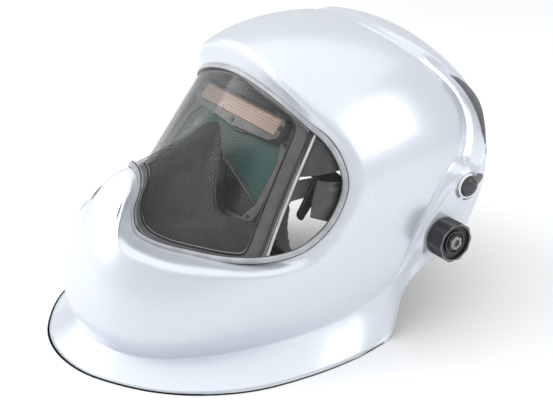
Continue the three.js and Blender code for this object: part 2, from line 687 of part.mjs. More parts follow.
for (const [name, side] of SIDES) {
  add(`tension_knob_${name}`, onSide(side, knobGeometry()), blackPlastic);
  add(`hex_bolt_${name}`, onSide(side, boltGeometry()), steel);
  add(`friction_washer_${name}`, onSide(side, ringX(110.3, 112.1, BOLT_RADIUS + GAP, 12.5, PIVOT)), foam);
  add(`tilt_disc_${name}`, onSide(side, tiltDiscGeometry()), greyPlastic);
}

// ---------------------------------------------------------------- headgear
// Inside this group the origin is the pivot, -Y is the wearer's front and Z their crown.
const headgear = new THREE.Group();
headgear.position.copy(PIVOT);
headgear.rotation.x = HEADGEAR_PARKED;
helmet.add(headgear);

// Point on the band's oval: angle from the forehead, height, and distance outside it.
const ovalPoint = (angle, z, out) => vec(
  (HEAD_HALF_WIDTH + out) * Math.sin(angle * DEG),
  HEAD_MIDDLE_Y - (HEAD_HALF_LENGTH + out) * Math.cos(angle * DEG),
  z,
);

// Curved slab: point(u, v, out) over a grid, between two distances outside the surface.
function slab(point, [u0, u1], columns, [inside, outside]) {
  const face = (out) => Array.from({ length: columns + 1 }, (_, c) => {
    const u = THREE.MathUtils.lerp(u0, u1, c / columns);
    return [-1, 1].map((v) => point(u, v, out));
  });
  return plate(face(outside), face(inside));
}

const ovalSlab = (angles, columns, height, depths) => slab(
  (angle, v, out) => ovalPoint(angle, v * height(angle), out), angles, columns, depths,
);

function foreheadBandGeometry() {
  const height = (angle) => 16 - 4 * (angle / 116) ** 2;
  return ovalSlab([-116, 116], 32, height, [0, BAND_THICKNESS]);
}

const HOUSING_ANGLES = [159, 201];
const HOUSING_DEPTHS = [-1.5, 10];
const SLOT_DEPTHS = [2.2, 6.4];
function ratchetHousingGeometry() {
  const block = ovalSlab(HOUSING_ANGLES, 10, () => 17, HOUSING_DEPTHS);
  const slot = ovalSlab([150, 210], 14, () => STRAP_HALF_HEIGHT + GAP, SLOT_DEPTHS);
  return carve(block, [slot]);
}

function ratchetKnobGeometry() {
  const grip = extruded(outlineShape(flutedOutline(18, 12, 1.2)), -10, 0);
  return grip.rotateX(Math.PI / 2);
}

const rodZ = (radius, z0, z1, at) => cylinderZ(radius, z1 - z0, vec(at.x, at.y, (z0 + z1) / 2), 16);
const PEG_RADIUS = 2.6;
const CROSS_STRAP_Y = -16;

// Arch from the band up over the head: 0 starts beside the band, 1 to 181 is the arc.
const ARCH_START_Z = -8;
const ARCH_SPRING_Z = 17;
function crossArchPoint(station, v, out) {
  const angle = Math.max(station, 0) * DEG;
  const drop = station < 0 ? ARCH_START_Z - ARCH_SPRING_Z : 0;
  const radius = HEAD_HALF_WIDTH + 1.2 + out;
  return vec(
    radius * Math.cos(angle),
    CROSS_STRAP_Y + v * STRAP_HALF_HEIGHT,
    ARCH_SPRING_Z + drop + radius * Math.sin(angle),
  );
}

function crossStrapGeometry(depth, reach) {
  const peg = rodZ(PEG_RADIUS + GAP, 80, 110, vec(0, CROSS_STRAP_Y, 0));
  const columns = Math.ceil((reach + 6) / 6);
  const arch = slab(crossArchPoint, [-6, reach], columns, [depth, depth + STRAP_THICKNESS]);
  return carve(arch, [peg]);
}

function pegGeometry() {
  const top = ARCH_SPRING_Z + HEAD_HALF_WIDTH + 1.2;
  const stem = rodZ(PEG_RADIUS, top - 1.5, top + 5, vec(0, CROSS_STRAP_Y, 0));
  const cap = rodZ(5, top + 2 * STRAP_THICKNESS + 2 * GAP + GAP, top + 6.4, vec(0, CROSS_STRAP_Y, 0));
  const foot = rodZ(4.4, top - 1.6, top - GAP, vec(0, CROSS_STRAP_Y, 0));
  return carve(stem, [], [cap, foot]);
}

// Arch from the forehead to the ratchet housing, in the symmetry plane.
function longArchPoint(station, v, out) {
  const angle = Math.max(station, 0) * DEG;
  const drop = station < 0 ? -20 : 0;
  const reach = HEAD_HALF_LENGTH + BAND_THICKNESS + 0.5 + out;
  const springZ = 17 + GAP;
  return vec(
    v * STRAP_HALF_HEIGHT,
    HEAD_MIDDLE_Y - reach * Math.cos(angle),
    springZ + drop + (72 + out) * Math.sin(angle),
  );
}

function sideArmGeometry() {
  const rail = box(RAIL_THICKNESS, 36, 20, vec(RAIL_X + RAIL_THICKNESS / 2, 0, 0));
  const bridge = box(RAIL_X - 80.3, 18, 15, vec((RAIL_X + 80.5) / 2, 1, 0));
  return carve(rail, [], [bridge]);
}

// Channel that the rail slides in, with a bored plate for the bolt.
function carriageGeometry() {
  const block = box(12, 20, 25.2, vec(100.7, 0, 0));
  const rail = box(RAIL_THICKNESS + 2 * GAP, 40, 20 + 2 * GAP, vec(RAIL_X + RAIL_THICKNESS / 2, 0, 0));
  const bridge = box(10, 40, 16, vec(92.5, 0, 0));
  const bore = rodX(90, 110, BOLT_RADIUS + GAP, vec(0, 0, 0));
  return carve(block, [rail, bridge, bore]);
}

add('forehead_band', foreheadBandGeometry(), blackPlastic, headgear);
add('sweatband', ovalSlab([-72, 72], 18, () => 17, [-6.3, -GAP]), foam, headgear);
const rearStrap = (angles, depth) => ovalSlab(
  angles, 18, () => STRAP_HALF_HEIGHT, [depth, depth + STRAP_THICKNESS],
);
add('rear_strap_left', rearStrap([103, 194], 2.5), blackPlastic, headgear);
add('rear_strap_right', rearStrap([-103, -194], 4.5), blackPlastic, headgear);
add('ratchet_housing', ratchetHousingGeometry(), blackPlastic, headgear);
add('ratchet_knob', ratchetKnobGeometry(), greyPlastic, headgear)
  .position.set(0, HEAD_MIDDLE_Y + HEAD_HALF_LENGTH + 10 + GAP, 0);
add('nape_pad', ovalSlab([148, 212], 14, () => 20, [-8.8, -1.8]), foam, headgear);
add('crown_strap_left', crossStrapGeometry(0, 104), blackPlastic, headgear);
add(
  'crown_strap_right', mirroredX(crossStrapGeometry(STRAP_THICKNESS + GAP, 104)),
  blackPlastic, headgear,
);
add('crown_strap_long', slab(longArchPoint, [-6, 180], 32, [0, STRAP_THICKNESS]), blackPlastic, headgear);
add('crown_peg', pegGeometry(), greyPlastic, headgear);
for (const [name, side] of SIDES) {
  add(`side_arm_${name}`, onSide(side, sideArmGeometry()), blackPlastic, headgear);
  add(`pivot_carriage_${name}`, onSide(side, carriageGeometry()), greyPlastic, headgear);
}

// The frame's origin is under the middle of the whole helmet.
const MIDDLE_Y = 15.6;
helmet.position.y = -MIDDLE_Y;

export default helmet;
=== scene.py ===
# Looks of a welding helmet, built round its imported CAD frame. Shapes are worked out in
# millimetres, wearer's left towards +X, and placed in the frame's metres.
import json
import math

import bmesh
import bpy
import numpy as np
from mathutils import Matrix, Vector

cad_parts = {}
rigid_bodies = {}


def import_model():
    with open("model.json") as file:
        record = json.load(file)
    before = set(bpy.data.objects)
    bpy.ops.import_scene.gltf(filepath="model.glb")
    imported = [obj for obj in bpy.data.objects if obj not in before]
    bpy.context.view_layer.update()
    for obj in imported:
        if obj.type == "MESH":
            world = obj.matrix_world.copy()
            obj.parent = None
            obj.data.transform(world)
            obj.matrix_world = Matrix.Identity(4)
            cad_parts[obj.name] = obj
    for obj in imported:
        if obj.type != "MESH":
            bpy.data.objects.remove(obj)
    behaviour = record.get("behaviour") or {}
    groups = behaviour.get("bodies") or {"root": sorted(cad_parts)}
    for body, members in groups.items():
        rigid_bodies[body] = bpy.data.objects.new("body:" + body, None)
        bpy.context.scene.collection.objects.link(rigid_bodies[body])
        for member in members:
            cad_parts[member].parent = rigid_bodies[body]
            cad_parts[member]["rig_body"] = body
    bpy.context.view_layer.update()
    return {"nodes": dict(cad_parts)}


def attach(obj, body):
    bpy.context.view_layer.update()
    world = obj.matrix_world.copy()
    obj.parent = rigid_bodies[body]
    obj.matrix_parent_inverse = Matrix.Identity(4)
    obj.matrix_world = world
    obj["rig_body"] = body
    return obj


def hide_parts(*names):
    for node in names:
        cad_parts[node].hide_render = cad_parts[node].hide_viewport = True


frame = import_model()
NODES = frame["nodes"]

# ---------------------------------------------------------------- driving dimensions (mm)
MIDDLE_Y = 15.6
GAP = 0.3
SHELL_THICKNESS = 2.6
HEAD_CENTRE = np.array([0.0, 20.0, 100.0])
POLE_HALF_WIDTH = 112.0
PIVOT = np.array([0.0, 101.0, 74.0])
BOSS_FACE_X = 115.0
BUTTON_AT = np.array([0.0, 124.0, 110.0])
BOSS_RADII = (17.0, 12.0)
BOSS_FILLET = 7.0
BOSS_FROM_X = 80.0
BEAD_HEIGHT = 0.8
CREASE_DEPTH = 1.2
SEAL_RADIUS = 1.9
LENS_RADIUS = 120.0
LENS_LEAN = 0.8
LENS_FRONT_Y = -32.4
LENS_REF_Z = 162.0
LENS_THICKNESS = 2.0
CASSETTE_CENTRE = np.array([0.0, -31.4, 135.5])
CASSETTE_TILT = math.pi / 2 - math.atan(LENS_LEAN)
BAR_DEPTH = 8.0
HEADGEAR_PARKED = math.radians(45)
HEAD_HALF_WIDTH = 78.0
HEAD_HALF_LENGTH = 94.0
HEAD_MIDDLE_Y = 10.0
BAND_THICKNESS = 2.2
BAND_REACH = 116.0
STRAP_THICKNESS = 1.6
STRAP_HALF_HEIGHT = 7.0
REAR_STRAP_DEPTH = {"left": 2.5, "right": 4.5}
CROWN_STRAP_DEPTH = {"left": 0.0, "right": STRAP_THICKNESS + GAP}
STRAP_HOLE_RADIUS = 1.7
CROWN_BASE = 17.0
SIDES = (("left", 1), ("right", -1))

# The shell's surface, by angle in the symmetry plane (0 front, 90 top, 180 back): its radius
# from HEAD_CENTRE, the power that rounds it towards the sides, and its half width.
SIDE_PROFILE = [
    (-165, 168), (-150, 160), (-120, 150), (-90, 146), (-60, 158), (-40, 180), (-25, 193),
    (-18, 181), (-10, 170), (-3, 159), (3, 149), (9, 139), (15, 130), (22, 122), (40, 108),
    (55, 108), (67, 116), (81, 122), (94, 126), (107, 132), (122, 143), (134, 154), (145, 161),
    (160, 172), (180, 176),
]
ROUNDNESS = [
    (-165, 3.2), (-120, 3), (-80, 3), (-45, 2.5), (-20, 2.3), (0, 1.9), (15, 1.9), (30, 2.1),
    (60, 2.15), (90, 2.2), (120, 2.4), (145, 2.8), (165, 3.2),
]
HALF_WIDTH = [
    (-165, 115), (-120, 114), (-80, 114), (-45, 114), (-20, 114), (0, 112), (30, 108),
    (60, 104), (90, 104), (120, 107), (145, 112), (165, 115),
]
# Half outlines from the front of the symmetry plane round to the top or back of it: points, or
# for the ridge and the crease directions from HEAD_CENTRE as (azimuth, elevation).
WINDOW_EDGE = [
    (0, -100, 138), (6, -98.5, 133), (11, -101, 124), (15, -109, 109), (21, -110, 95),
    (34, -103, 89), (56, -85, 85), (80, -65, 84), (97, -43, 86), (104, -20, 91),
    (106, 3, 107), (104, 16, 131), (99, 15, 148), (90, 10, 162), (76, 3, 172), (58, -2, 181),
    (32, -6, 189), (0, -8, 193),
]
RIDGE = [
    (0, 15), (4.2, 14.2), (7.2, 10.5), (8.4, 5), (11.5, -0.5), (23, -3.6), (42, -6.4),
    (60, -9), (74, -8), (85, -1), (91.5, 8), (93.7, 17.5), (92, 27), (86.5, 36), (76, 47.5),
    (61, 59.5), (38, 70), (0, 74),
]
CREASE = [
    (0, -27.6), (9, -27.8), (18, -28.6), (28, -30), (40, -32), (54, -34.3), (70, -35.6),
    (88, -34.3), (104, -29.8), (113.5, -22.5), (117.5, -14.4), (121, -6), (129, 4), (140, 11.5),
    (146.5, 23), (145.5, 42), (156, 58), (180, 62),
]
FREE_EDGE = [
    (0, -169, -1), (32, -164, -1), (60, -150, -1), (86, -130, -1), (106, -105, -1),
    (121, -72, -1), (127, -30, -1), (126, 14, -1), (119, 50, 1), (116, 66, 38), (115.5, 86, 54),
    (115, 112, 59), (114, 130, 82), (110, 146, 112), (99, 153, 144), (75, 155, 174),
    (39, 153, 192), (0, 152, 198),
]
# Half outlines of the holder: its mouth as (x, z), its hole in the cassette's plane as (x, y).
HOLDER_INNER = [
    (0, 157), (16, 148), (31, 128), (42, 114), (50, 108), (64, 107), (78, 107), (81, 112),
    (77, 138), (71, 165), (66, 171), (38, 177), (0, 179),
]
SHROUD_HOLE = [
    (0, -9), (9, -10), (22, -20), (32, -29), (39, -34), (56, -34), (70, -32), (72, -24),
    (72, 5), (69, 22), (63, 44), (41, 52), (0, 54),
]
# Panels behind the side of the lens: front and rear edge (y, z) of each, from the bottom up.
SIDE_PANELS = {
    "upper": [
        [(-12.6, 138), (-8.2, 146.5), (-2.6, 156), (1.2, 166)],
        [(16.5, 141.5), (16, 150.5), (13, 159), (8.5, 166)],
    ],
    "lower": [
        [(-10.9, 111.5), (-8.1, 122.6), (-3.3, 132.5), (-1, 136)],
        [(3.5, 105.5), (10, 113), (14.5, 122.5), (16.8, 132)],
    ],
}
# Columns of the lens, from the middle out: places in WINDOW_EDGE at their lower and upper end.
LENS_COLUMNS = [(0, 17), (3, 16.5), (5, 15.9), (6, 15), (7, 13.8), (8, 12.6), (10.7, 11.3)]
# Lens columns, at the bottom and the top, of the rib and of the tray's edge.
RIB_COLUMNS = (7.8, 7.1)
TRAY_COLUMNS = (7.25, 6.5)
STEPS = len(WINDOW_EDGE) - 1
PER_STEP = 12


# ---------------------------------------------------------------- curves and surfaces
# Entries of a table by angle, evenly from -180 to 180 degrees.
TABLE_SIZE = 720


def smooth_ring(pairs, blur):
    """Table through (angle, value) pairs, rounded with a Gaussian of blur degrees."""
    angles, values = np.array(pairs, float).T
    fine = np.linspace(-180, 180, TABLE_SIZE, endpoint=False)
    raw = np.interp(fine, np.r_[angles - 360, angles, angles + 360], np.tile(values, 3))
    away = 180 - np.abs(fine)
    kernel = np.exp(-0.5 * (away / blur) ** 2)
    return np.real(np.fft.ifft(np.fft.fft(raw) * np.fft.fft(kernel / kernel.sum())))


def look_up(table, degrees):
    place = (np.asarray(degrees) + 180) % 360 * (TABLE_SIZE / 360)
    low = np.floor(place).astype(int)
    part = place - low
    return table[low % TABLE_SIZE] * (1 - part) + table[(low + 1) % TABLE_SIZE] * part


PROFILE_TABLE = smooth_ring(SIDE_PROFILE, 6)
ROUNDNESS_TABLE = smooth_ring(ROUNDNESS, 15)
WIDTH_TABLE = smooth_ring(HALF_WIDTH, 15)


def unit(vectors):
    return vectors / np.linalg.norm(vectors, axis=-1, keepdims=True)


def full_turn(count):
    """Angles evenly round a circle."""
    return np.linspace(0, 2 * math.pi, count, endpoint=False)


def bell(value, middle, width):
    return np.exp(-(((value - middle) / width) ** 2))


def smoothstep(value, low, high):
    t = np.clip((value - low) / (high - low), 0, 1)
    return t * t * (3 - 2 * t)


def surface_point(directions):
    d = unit(np.asarray(directions, float))
    angle = np.degrees(np.arctan2(d[..., 2], -d[..., 1]))
    across = np.hypot(d[..., 1], d[..., 2])
    along = np.maximum(np.abs(d[..., 0]), 1e-9)
    width = POLE_HALF_WIDTH + (look_up(WIDTH_TABLE, angle) - POLE_HALF_WIDTH) * across ** 2
    power = look_up(ROUNDNESS_TABLE, angle)
    radius = (across / look_up(PROFILE_TABLE, angle)) ** power + (along / width) ** power
    return HEAD_CENTRE + d * (radius ** (-1 / power))[..., None]


def direction(azimuth, elevation):
    a, e = math.radians(azimuth), math.radians(elevation)
    return (math.sin(a) * math.cos(e), -math.cos(a) * math.cos(e), math.sin(e))


def closed_curve(points, per):
    """Centripetal Catmull-Rom curve through closed points, per samples to each."""
    p = np.asarray(points, float)
    n = len(p)
    t = (np.arange(per) / per)[:, None]
    pieces = []
    for i in range(n):
        p0, p1, p2, p3 = p[(i - 1) % n], p[i], p[(i + 1) % n], p[(i + 2) % n]
        spans = ((p0, p1), (p1, p2), (p2, p3))
        k0, k1, k2 = (max(np.linalg.norm(b - a), 1e-4) ** 0.5 for a, b in spans)
        m1 = ((p1 - p0) / k0 - (p2 - p0) / (k0 + k1) + (p2 - p1) / k1) * k1
        m2 = ((p2 - p1) / k1 - (p3 - p1) / (k1 + k2) + (p3 - p2) / k2) * k1
        pieces.append(
            p1 + t * m1 + t ** 2 * (3 * (p2 - p1) - 2 * m1 - m2) + t ** 3 * (2 * (p1 - p2) + m1 + m2)
        )
    return np.concatenate(pieces)


def mirrored_curve(half, per=PER_STEP):
    half = np.asarray(half, float)
    back = half[1:-1][::-1] * (-1, 1, 1)
    return closed_curve(np.concatenate([half, back]), per)


def on_surface(half):
    return surface_point([direction(*pair) for pair in half])


SEAL_LOOP = mirrored_curve(WINDOW_EDGE)
SEAL_TANGENT = unit(np.roll(SEAL_LOOP, -1, 0) - np.roll(SEAL_LOOP, 1, 0))
RIDGE_LOOP = surface_point(mirrored_curve(on_surface(RIDGE)) - HEAD_CENTRE)
CREASE_LOOP = surface_point(mirrored_curve(on_surface(CREASE)) - HEAD_CENTRE)
EDGE_LOOP = mirrored_curve(FREE_EDGE)
COLUMNS = len(SEAL_LOOP)
COLUMN_STEP = np.arange(COLUMNS) / PER_STEP
OUTLINE_INDEX = np.minimum(COLUMN_STEP, 2 * STEPS - COLUMN_STEP)


def slerp(a, b, t):
    angle = np.arccos(np.clip((a * b).sum(-1, keepdims=True), -1, 1))
    return (a * np.sin((1 - t) * angle) + b * np.sin(t * angle)) / np.sin(angle)


def ear_boss(p):
    """Draws the ear out to one flat boss from the pivot up to the button."""
    run = (BUTTON_AT - PIVOT)[1:]
    offset = (p - PIVOT)[..., 1:]
    along = np.clip(offset @ run / (run @ run), 0, 1)
    distance = np.linalg.norm(offset - along[..., None] * run, axis=-1)
    flat = BOSS_RADII[0] + (BOSS_RADII[1] - BOSS_RADII[0]) * along
    w = (1 - smoothstep(distance, flat, flat + BOSS_FILLET)) * (np.abs(p[..., 0]) > BOSS_FROM_X)
    out = p.copy()
    out[..., 0] += w * (np.sign(p[..., 0]) * BOSS_FACE_X - p[..., 0])
    return out


def grid_normals(rows, wrap):
    if wrap:
        across = np.roll(rows, -1, 1) - np.roll(rows, 1, 1)
    else:
        across = np.gradient(rows, axis=1)
    return unit(np.cross(across, np.gradient(rows, axis=0)) + 1e-12)


def relaxed(rows, weight, rounds):
    """Rows of points smoothed across the rows, by a weight for each row."""
    for _ in range(rounds):
        middle = (rows[:-2] + rows[2:]) / 2 - rows[1:-1]
        rows = rows.copy()
        rows[1:-1] += 0.5 * weight[1:-1, None, None] * middle
    return rows


# Places of the shell's rows: from the ridge to the crease, and from the crease to the free edge.
CROWN_AT = np.r_[
    np.linspace(0, 0.1, 6)[:-1],
    np.linspace(0.1, 0.9, 26)[:-1],
    np.linspace(0.9, 1, 7)[:-1],
]
BORDER_AT = np.r_[
    np.linspace(0, 0.2, 15)[:-1],
    np.linspace(0.2, 0.86, 16)[:-1],
    np.linspace(0.86, 1, 13),
]
# By column: 0 where the border is the neck flange, 1 where it is the raised rear collar.
RAISED = smoothstep(OUTLINE_INDEX, 8.5, 10)


def recess_rows():
    """Rows from the seal's lip out to the ridge round the window."""
    outward = RIDGE_LOOP - SEAL_LOOP
    outward -= (outward * SEAL_TANGENT).sum(-1, keepdims=True) * SEAL_TANGENT
    lip = SEAL_LOOP + unit(outward) * (SEAL_RADIUS - 0.4)
    return [lip + (RIDGE_LOOP - lip) * t for t in np.linspace(0, 1, 13)[:-1]]


def crown_rows():
    """Rows from the ridge over the crown and the cheeks to the crease."""
    ridge_dir = unit(RIDGE_LOOP - HEAD_CENTRE)
    crease_dir = unit(CREASE_LOOP - HEAD_CENTRE)
    return [surface_point(slerp(ridge_dir, crease_dir, t)) for t in CROWN_AT]


def border_rows():
    """Rows from the crease out to the free edge."""
    crease_dir = unit(CREASE_LOOP - HEAD_CENTRE)
    edge_dir = unit(EDGE_LOOP - HEAD_CENTRE)
    reach = EDGE_LOOP - surface_point(edge_dir)
    raised = RAISED[:, None]
    rows = []
    for t in BORDER_AT:
        step = float(smoothstep(t, 0.0, 0.13))
        share = t ** 1.2 * (1 - raised) + step * raised
        rows.append(surface_point(slerp(crease_dir, edge_dir, t)) + reach * share)
    return rows


def outward_normals(rows, ridge):
    """Normals of the shell's rows; ridge is the number of the row on the ridge."""
    normals = grid_normals(rows, True)
    normals *= np.sign((normals * (rows - HEAD_CENTRE)).sum())
    # The rows just past the ridge lie too close together to give a normal of their own.
    low, high = ridge + 1, ridge + 9
    for row in range(low + 1, high):
        share = (row - low) / (high - low)
        normals[row] = unit(normals[low] * (1 - share) + normals[high] * share)
    return normals


def shell_rows():
    """Outer surface of the shell and its normals, row by row from the seal to the free edge."""
    recess, crown, border = recess_rows(), crown_rows(), border_rows()
    rows = np.array(recess + crown + border)
    ridge = len(recess)
    crease = ridge + len(crown)
    number = np.arange(len(rows))
    weight = bell(number, ridge, 2.2) + 0.8 * bell(number, crease, 2.5)
    rows = ear_boss(relaxed(rows, np.clip(weight, 0, 1), 14))
    normals = outward_normals(rows, ridge)
    bead = BEAD_HEIGHT * bell(BORDER_AT, 0.93, 0.016)[:, None] * (1 - RAISED)
    dip = CREASE_DEPTH * bell(CROWN_AT, 0.975, 0.03)[:, None] * RAISED
    rows[crease:] += normals[crease:] * bead[..., None]
    rows[ridge:crease] -= normals[ridge:crease] * dip[..., None]
    return rows, normals


def into_window(points, tangents):
    x = points[..., 0]
    slope = x / np.sqrt(LENS_RADIUS ** 2 - x ** 2)
    normal = unit(np.stack([slope, -np.ones_like(x), np.full_like(x, LENS_LEAN)], -1))
    return unit(np.cross(normal, tangents))


def facing_out(normals):
    """Normals of the lens or its border, each turned to the outside of it."""
    return normals * np.sign((normals * (0, -1, 0.5)).sum(-1, keepdims=True))


def lens_y(x, z):
    """Front of the lens: a leaning cylinder."""
    lean = LENS_LEAN * (z - LENS_REF_Z)
    return LENS_FRONT_Y + lean + LENS_RADIUS - np.sqrt(LENS_RADIUS ** 2 - x ** 2)


def lens_rows():
    """Front of the lens as rows of points, one column across the window after another."""
    border = SEAL_LOOP + into_window(SEAL_LOOP, SEAL_TANGENT) * (SEAL_RADIUS - 0.5)
    bottoms, tops = zip(*LENS_COLUMNS)

    def border_at(index):
        place = index * PER_STEP
        return np.array([np.interp(place, np.arange(COLUMNS), border[:, k]) for k in range(3)])

    half = []
    v = np.linspace(0, 1, 48)
    for index in np.linspace(0, bottoms[-1], 90):
        low = border_at(index)
        high = border_at(np.interp(index, bottoms, tops))
        x = low[0] + (high[0] - low[0]) * v
        z = low[2] + (high[2] - low[2]) * v
        low_bulge = low[1] - lens_y(low[0], low[2])
        high_bulge = high[1] - lens_y(high[0], high[2])
        y = lens_y(x, z) + low_bulge * (1 - v) ** 4 + high_bulge * v ** 4
        half.append(np.stack([x, y, z], -1))
    half = np.array(half)
    return np.concatenate([half[1:][::-1] * (-1, 1, 1), half])


def cassette_point(x, y, z):
    """From the cassette's own plane, y up its face and z out of it."""
    sin, cos = math.sin(CASSETTE_TILT), math.cos(CASSETTE_TILT)
    return CASSETTE_CENTRE + (x, y * cos - z * sin, y * sin + z * cos)


def on_lens(front, column, v, depth):
    """Point behind the lens, at a column index and a share of the way up it."""
    behind = front - facing_out(grid_normals(front, False)) * depth
    middle = (len(front) - 1) // 2
    c = middle + np.asarray(column) / LENS_COLUMNS[-1][0] * middle
    r = np.asarray(v) * (front.shape[1] - 1)
    c0 = np.minimum(c.astype(int), len(front) - 2)
    r0 = np.minimum(r.astype(int), front.shape[1] - 2)
    fc = (c - c0)[..., None]
    fr = (r - r0)[..., None]
    near = behind[c0, r0] * (1 - fr) + behind[c0, r0 + 1] * fr
    far = behind[c0 + 1, r0] * (1 - fr) + behind[c0 + 1, r0 + 1] * fr
    return near * (1 - fc) + far * fc


# Points of the half loop that run along the bottom, up the side and back along the top.
TRAY_PARTS = (7 * PER_STEP, 2 * PER_STEP, 3 * PER_STEP + 1)
TRAY_RIM_ROWS = 6


def border_loop(front, side_columns, inset, depth):
    """Loop behind the lens: along its lower edge, up at the side columns, and back on top."""
    low, high = side_columns
    bottom, side, top = (np.linspace(0, 1, count, endpoint=False) for count in TRAY_PARTS)
    back = 1 - top * TRAY_PARTS[2] / (TRAY_PARTS[2] - 1)
    column = np.r_[low * bottom, low + (high - low) * side, high * back]
    v = np.r_[inset + 0 * bottom, inset + (1 - 2 * inset) * side, 1 - inset + 0 * top]
    half = on_lens(front, np.maximum(column, 0), v, depth)
    loop = np.concatenate([half, half[1:-1][::-1] * (-1, 1, 1)])
    for _ in range(3):
        loop = (np.roll(loop, 1, 0) + 2 * loop + np.roll(loop, -1, 0)) / 4
    return loop


def tray_rows(front):
    """Rows of the holder's tray, from its rim in to the housing and back out behind."""
    def at_mouth(setback):
        return mirrored_curve([(x, lens_y(x, z) + setback, z) for x, z in HOLDER_INNER])

    def at_housing(depth):
        return mirrored_curve([cassette_point(x, y, -BAR_DEPTH - depth) for x, y in SHROUD_HOLE])

    rim = border_loop(front, RIB_COLUMNS, 0.012, 3.4)
    step = border_loop(front, TRAY_COLUMNS, 0.035, 3.6)
    # Each loop of the tray, with the number of rows from it to the next.
    loops = [
        (rim, TRAY_RIM_ROWS),
        (step, 3),
        (border_loop(front, TRAY_COLUMNS, 0.05, 5.6), 10),
        (at_mouth(6.0), 10),
        (at_housing(2.0), 2),
        (at_housing(3.6), 8),
        (at_mouth(8.5), 8),
        (border_loop(front, RIB_COLUMNS, 0.02, 8.0), 2),
    ]
    rows = []
    for (here, count), (after, _) in zip(loops, loops[1:] + loops[:1]):
        rows += [here + (after - here) * k / count for k in range(count)]
    return np.array(rows), rim, step


def parked(points):
    """From the headgear's own axes to the parked headgear."""
    p = np.asarray(points, float)
    sin, cos = math.sin(HEADGEAR_PARKED), math.cos(HEADGEAR_PARKED)
    y = p[..., 1] * cos - p[..., 2] * sin
    z = p[..., 1] * sin + p[..., 2] * cos
    return np.stack([p[..., 0], y, z], -1) + PIVOT


# ---------------------------------------------------------------- materials
def new_material(name, base, roughness, metallic=0.0, **extra):
    mat = bpy.data.materials.new(name)
    mat.use_nodes = True
    shader = mat.node_tree.nodes["Principled BSDF"]
    shader.inputs["Base Color"].default_value = (*base, 1)
    shader.inputs["Roughness"].default_value = roughness
    shader.inputs["Metallic"].default_value = metallic
    for key, value in extra.items():
        shader.inputs[key.replace("_", " ")].default_value = value
    return mat


def node(mat, kind, **inputs):
    made = mat.node_tree.nodes.new(kind)
    for key, value in inputs.items():
        made.inputs[key.replace("_", " ")].default_value = value
    return made


def link(mat, output, target):
    mat.node_tree.links.new(output, target)


def coordinates(mat, stretch=(1, 1, 1), turn=(0, 0, 0)):
    place = node(mat, "ShaderNodeTexCoord")
    mapping = node(mat, "ShaderNodeMapping", Scale=stretch, Rotation=turn)
    link(mat, place.outputs["Object"], mapping.inputs["Vector"])
    return mapping.outputs["Vector"]


def noise(mat, vector, scale, detail=2.0):
    made = node(mat, "ShaderNodeTexNoise", Scale=scale, Detail=detail)
    link(mat, vector, made.inputs["Vector"])
    return made.outputs["Fac"]


def shader_input(mat, name):
    return mat.node_tree.nodes["Principled BSDF"].inputs[name]


def ramp(mat, factor, stops, target):
    """Colour or value over a factor, from (place, colour) stops, linked to a shader input."""
    made = node(mat, "ShaderNodeValToRGB")
    elements = made.color_ramp.elements
    while len(elements) < len(stops):
        elements.new(0.5)
    for element, (place, colour) in zip(elements, stops):
        element.position = place
        colour = (colour,) * 3 if isinstance(colour, float) else colour
        element.color = (*colour, 1)
    link(mat, factor, made.inputs["Fac"])
    link(mat, made.outputs["Color"], shader_input(mat, target))


def bump(mat, height, distance, strength=0.5):
    made = node(mat, "ShaderNodeBump", Strength=strength, Distance=distance)
    link(mat, height, made.inputs["Height"])
    link(mat, made.outputs["Normal"], shader_input(mat, "Normal"))


def pearl_paint():
    """Silver-white lacquer: a fine sparkle of flakes under a clear coat."""
    mat = new_material("pearl_paint", (0.66, 0.7, 0.76), 0.32, 0.4, Coat_Weight=0.5, Coat_Roughness=0.12)
    at = coordinates(mat)
    flakes = [(0.3, (0.6, 0.64, 0.7)), (0.7, (0.7, 0.74, 0.8))]
    ramp(mat, noise(mat, at, 2600, 3), flakes, "Base Color")
    ramp(mat, noise(mat, at, 14), [(0.35, 0.27), (0.65, 0.34)], "Roughness")
    bump(mat, noise(mat, at, 260), 0.0004, 0.12)
    return mat


def moulded(name, dark, light, roughness, grain, depth, **extra):
    """Moulded plastic: tone that varies a little, and a fine grain."""
    mat = new_material(name, light, roughness, **extra)
    at = coordinates(mat)
    ramp(mat, noise(mat, at, 90, 4), [(0.3, dark), (0.7, light)], "Base Color")
    ramp(mat, noise(mat, at, 220, 3), [(0.3, roughness - 0.06), (0.7, roughness + 0.08)], "Roughness")
    bump(mat, noise(mat, at, grain, 3), depth)
    return mat


def brushed_steel():
    mat = new_material("brushed_steel", (0.3, 0.3, 0.31), 0.4, 0.6)
    at = coordinates(mat, (60, 1, 1))
    streaks = [(0.3, (0.2, 0.2, 0.205)), (0.7, (0.34, 0.34, 0.35))]
    ramp(mat, noise(mat, at, 400, 2), streaks, "Base Color")
    ramp(mat, noise(mat, at, 600), [(0.3, 0.28), (0.7, 0.45)], "Roughness")
    return mat


def lens_glass():
    """Clear plastic: a thin film of reflection that grows towards the edges of what it covers."""
    mat = new_material("clear_lens", (0.12, 0.122, 0.125), 0.1, 0.0, IOR=1.9)
    facing = node(mat, "ShaderNodeLayerWeight", Blend=0.35)
    clear = node(mat, "ShaderNodeMapRange", From_Min=0.2, From_Max=0.75, To_Min=0.05, To_Max=0.7)
    link(mat, facing.outputs["Facing"], clear.inputs["Value"])
    link(mat, clear.outputs["Result"], shader_input(mat, "Alpha"))
    ramp(mat, noise(mat, coordinates(mat), 9), [(0.3, 0.09), (0.7, 0.12)], "Roughness")
    return mat


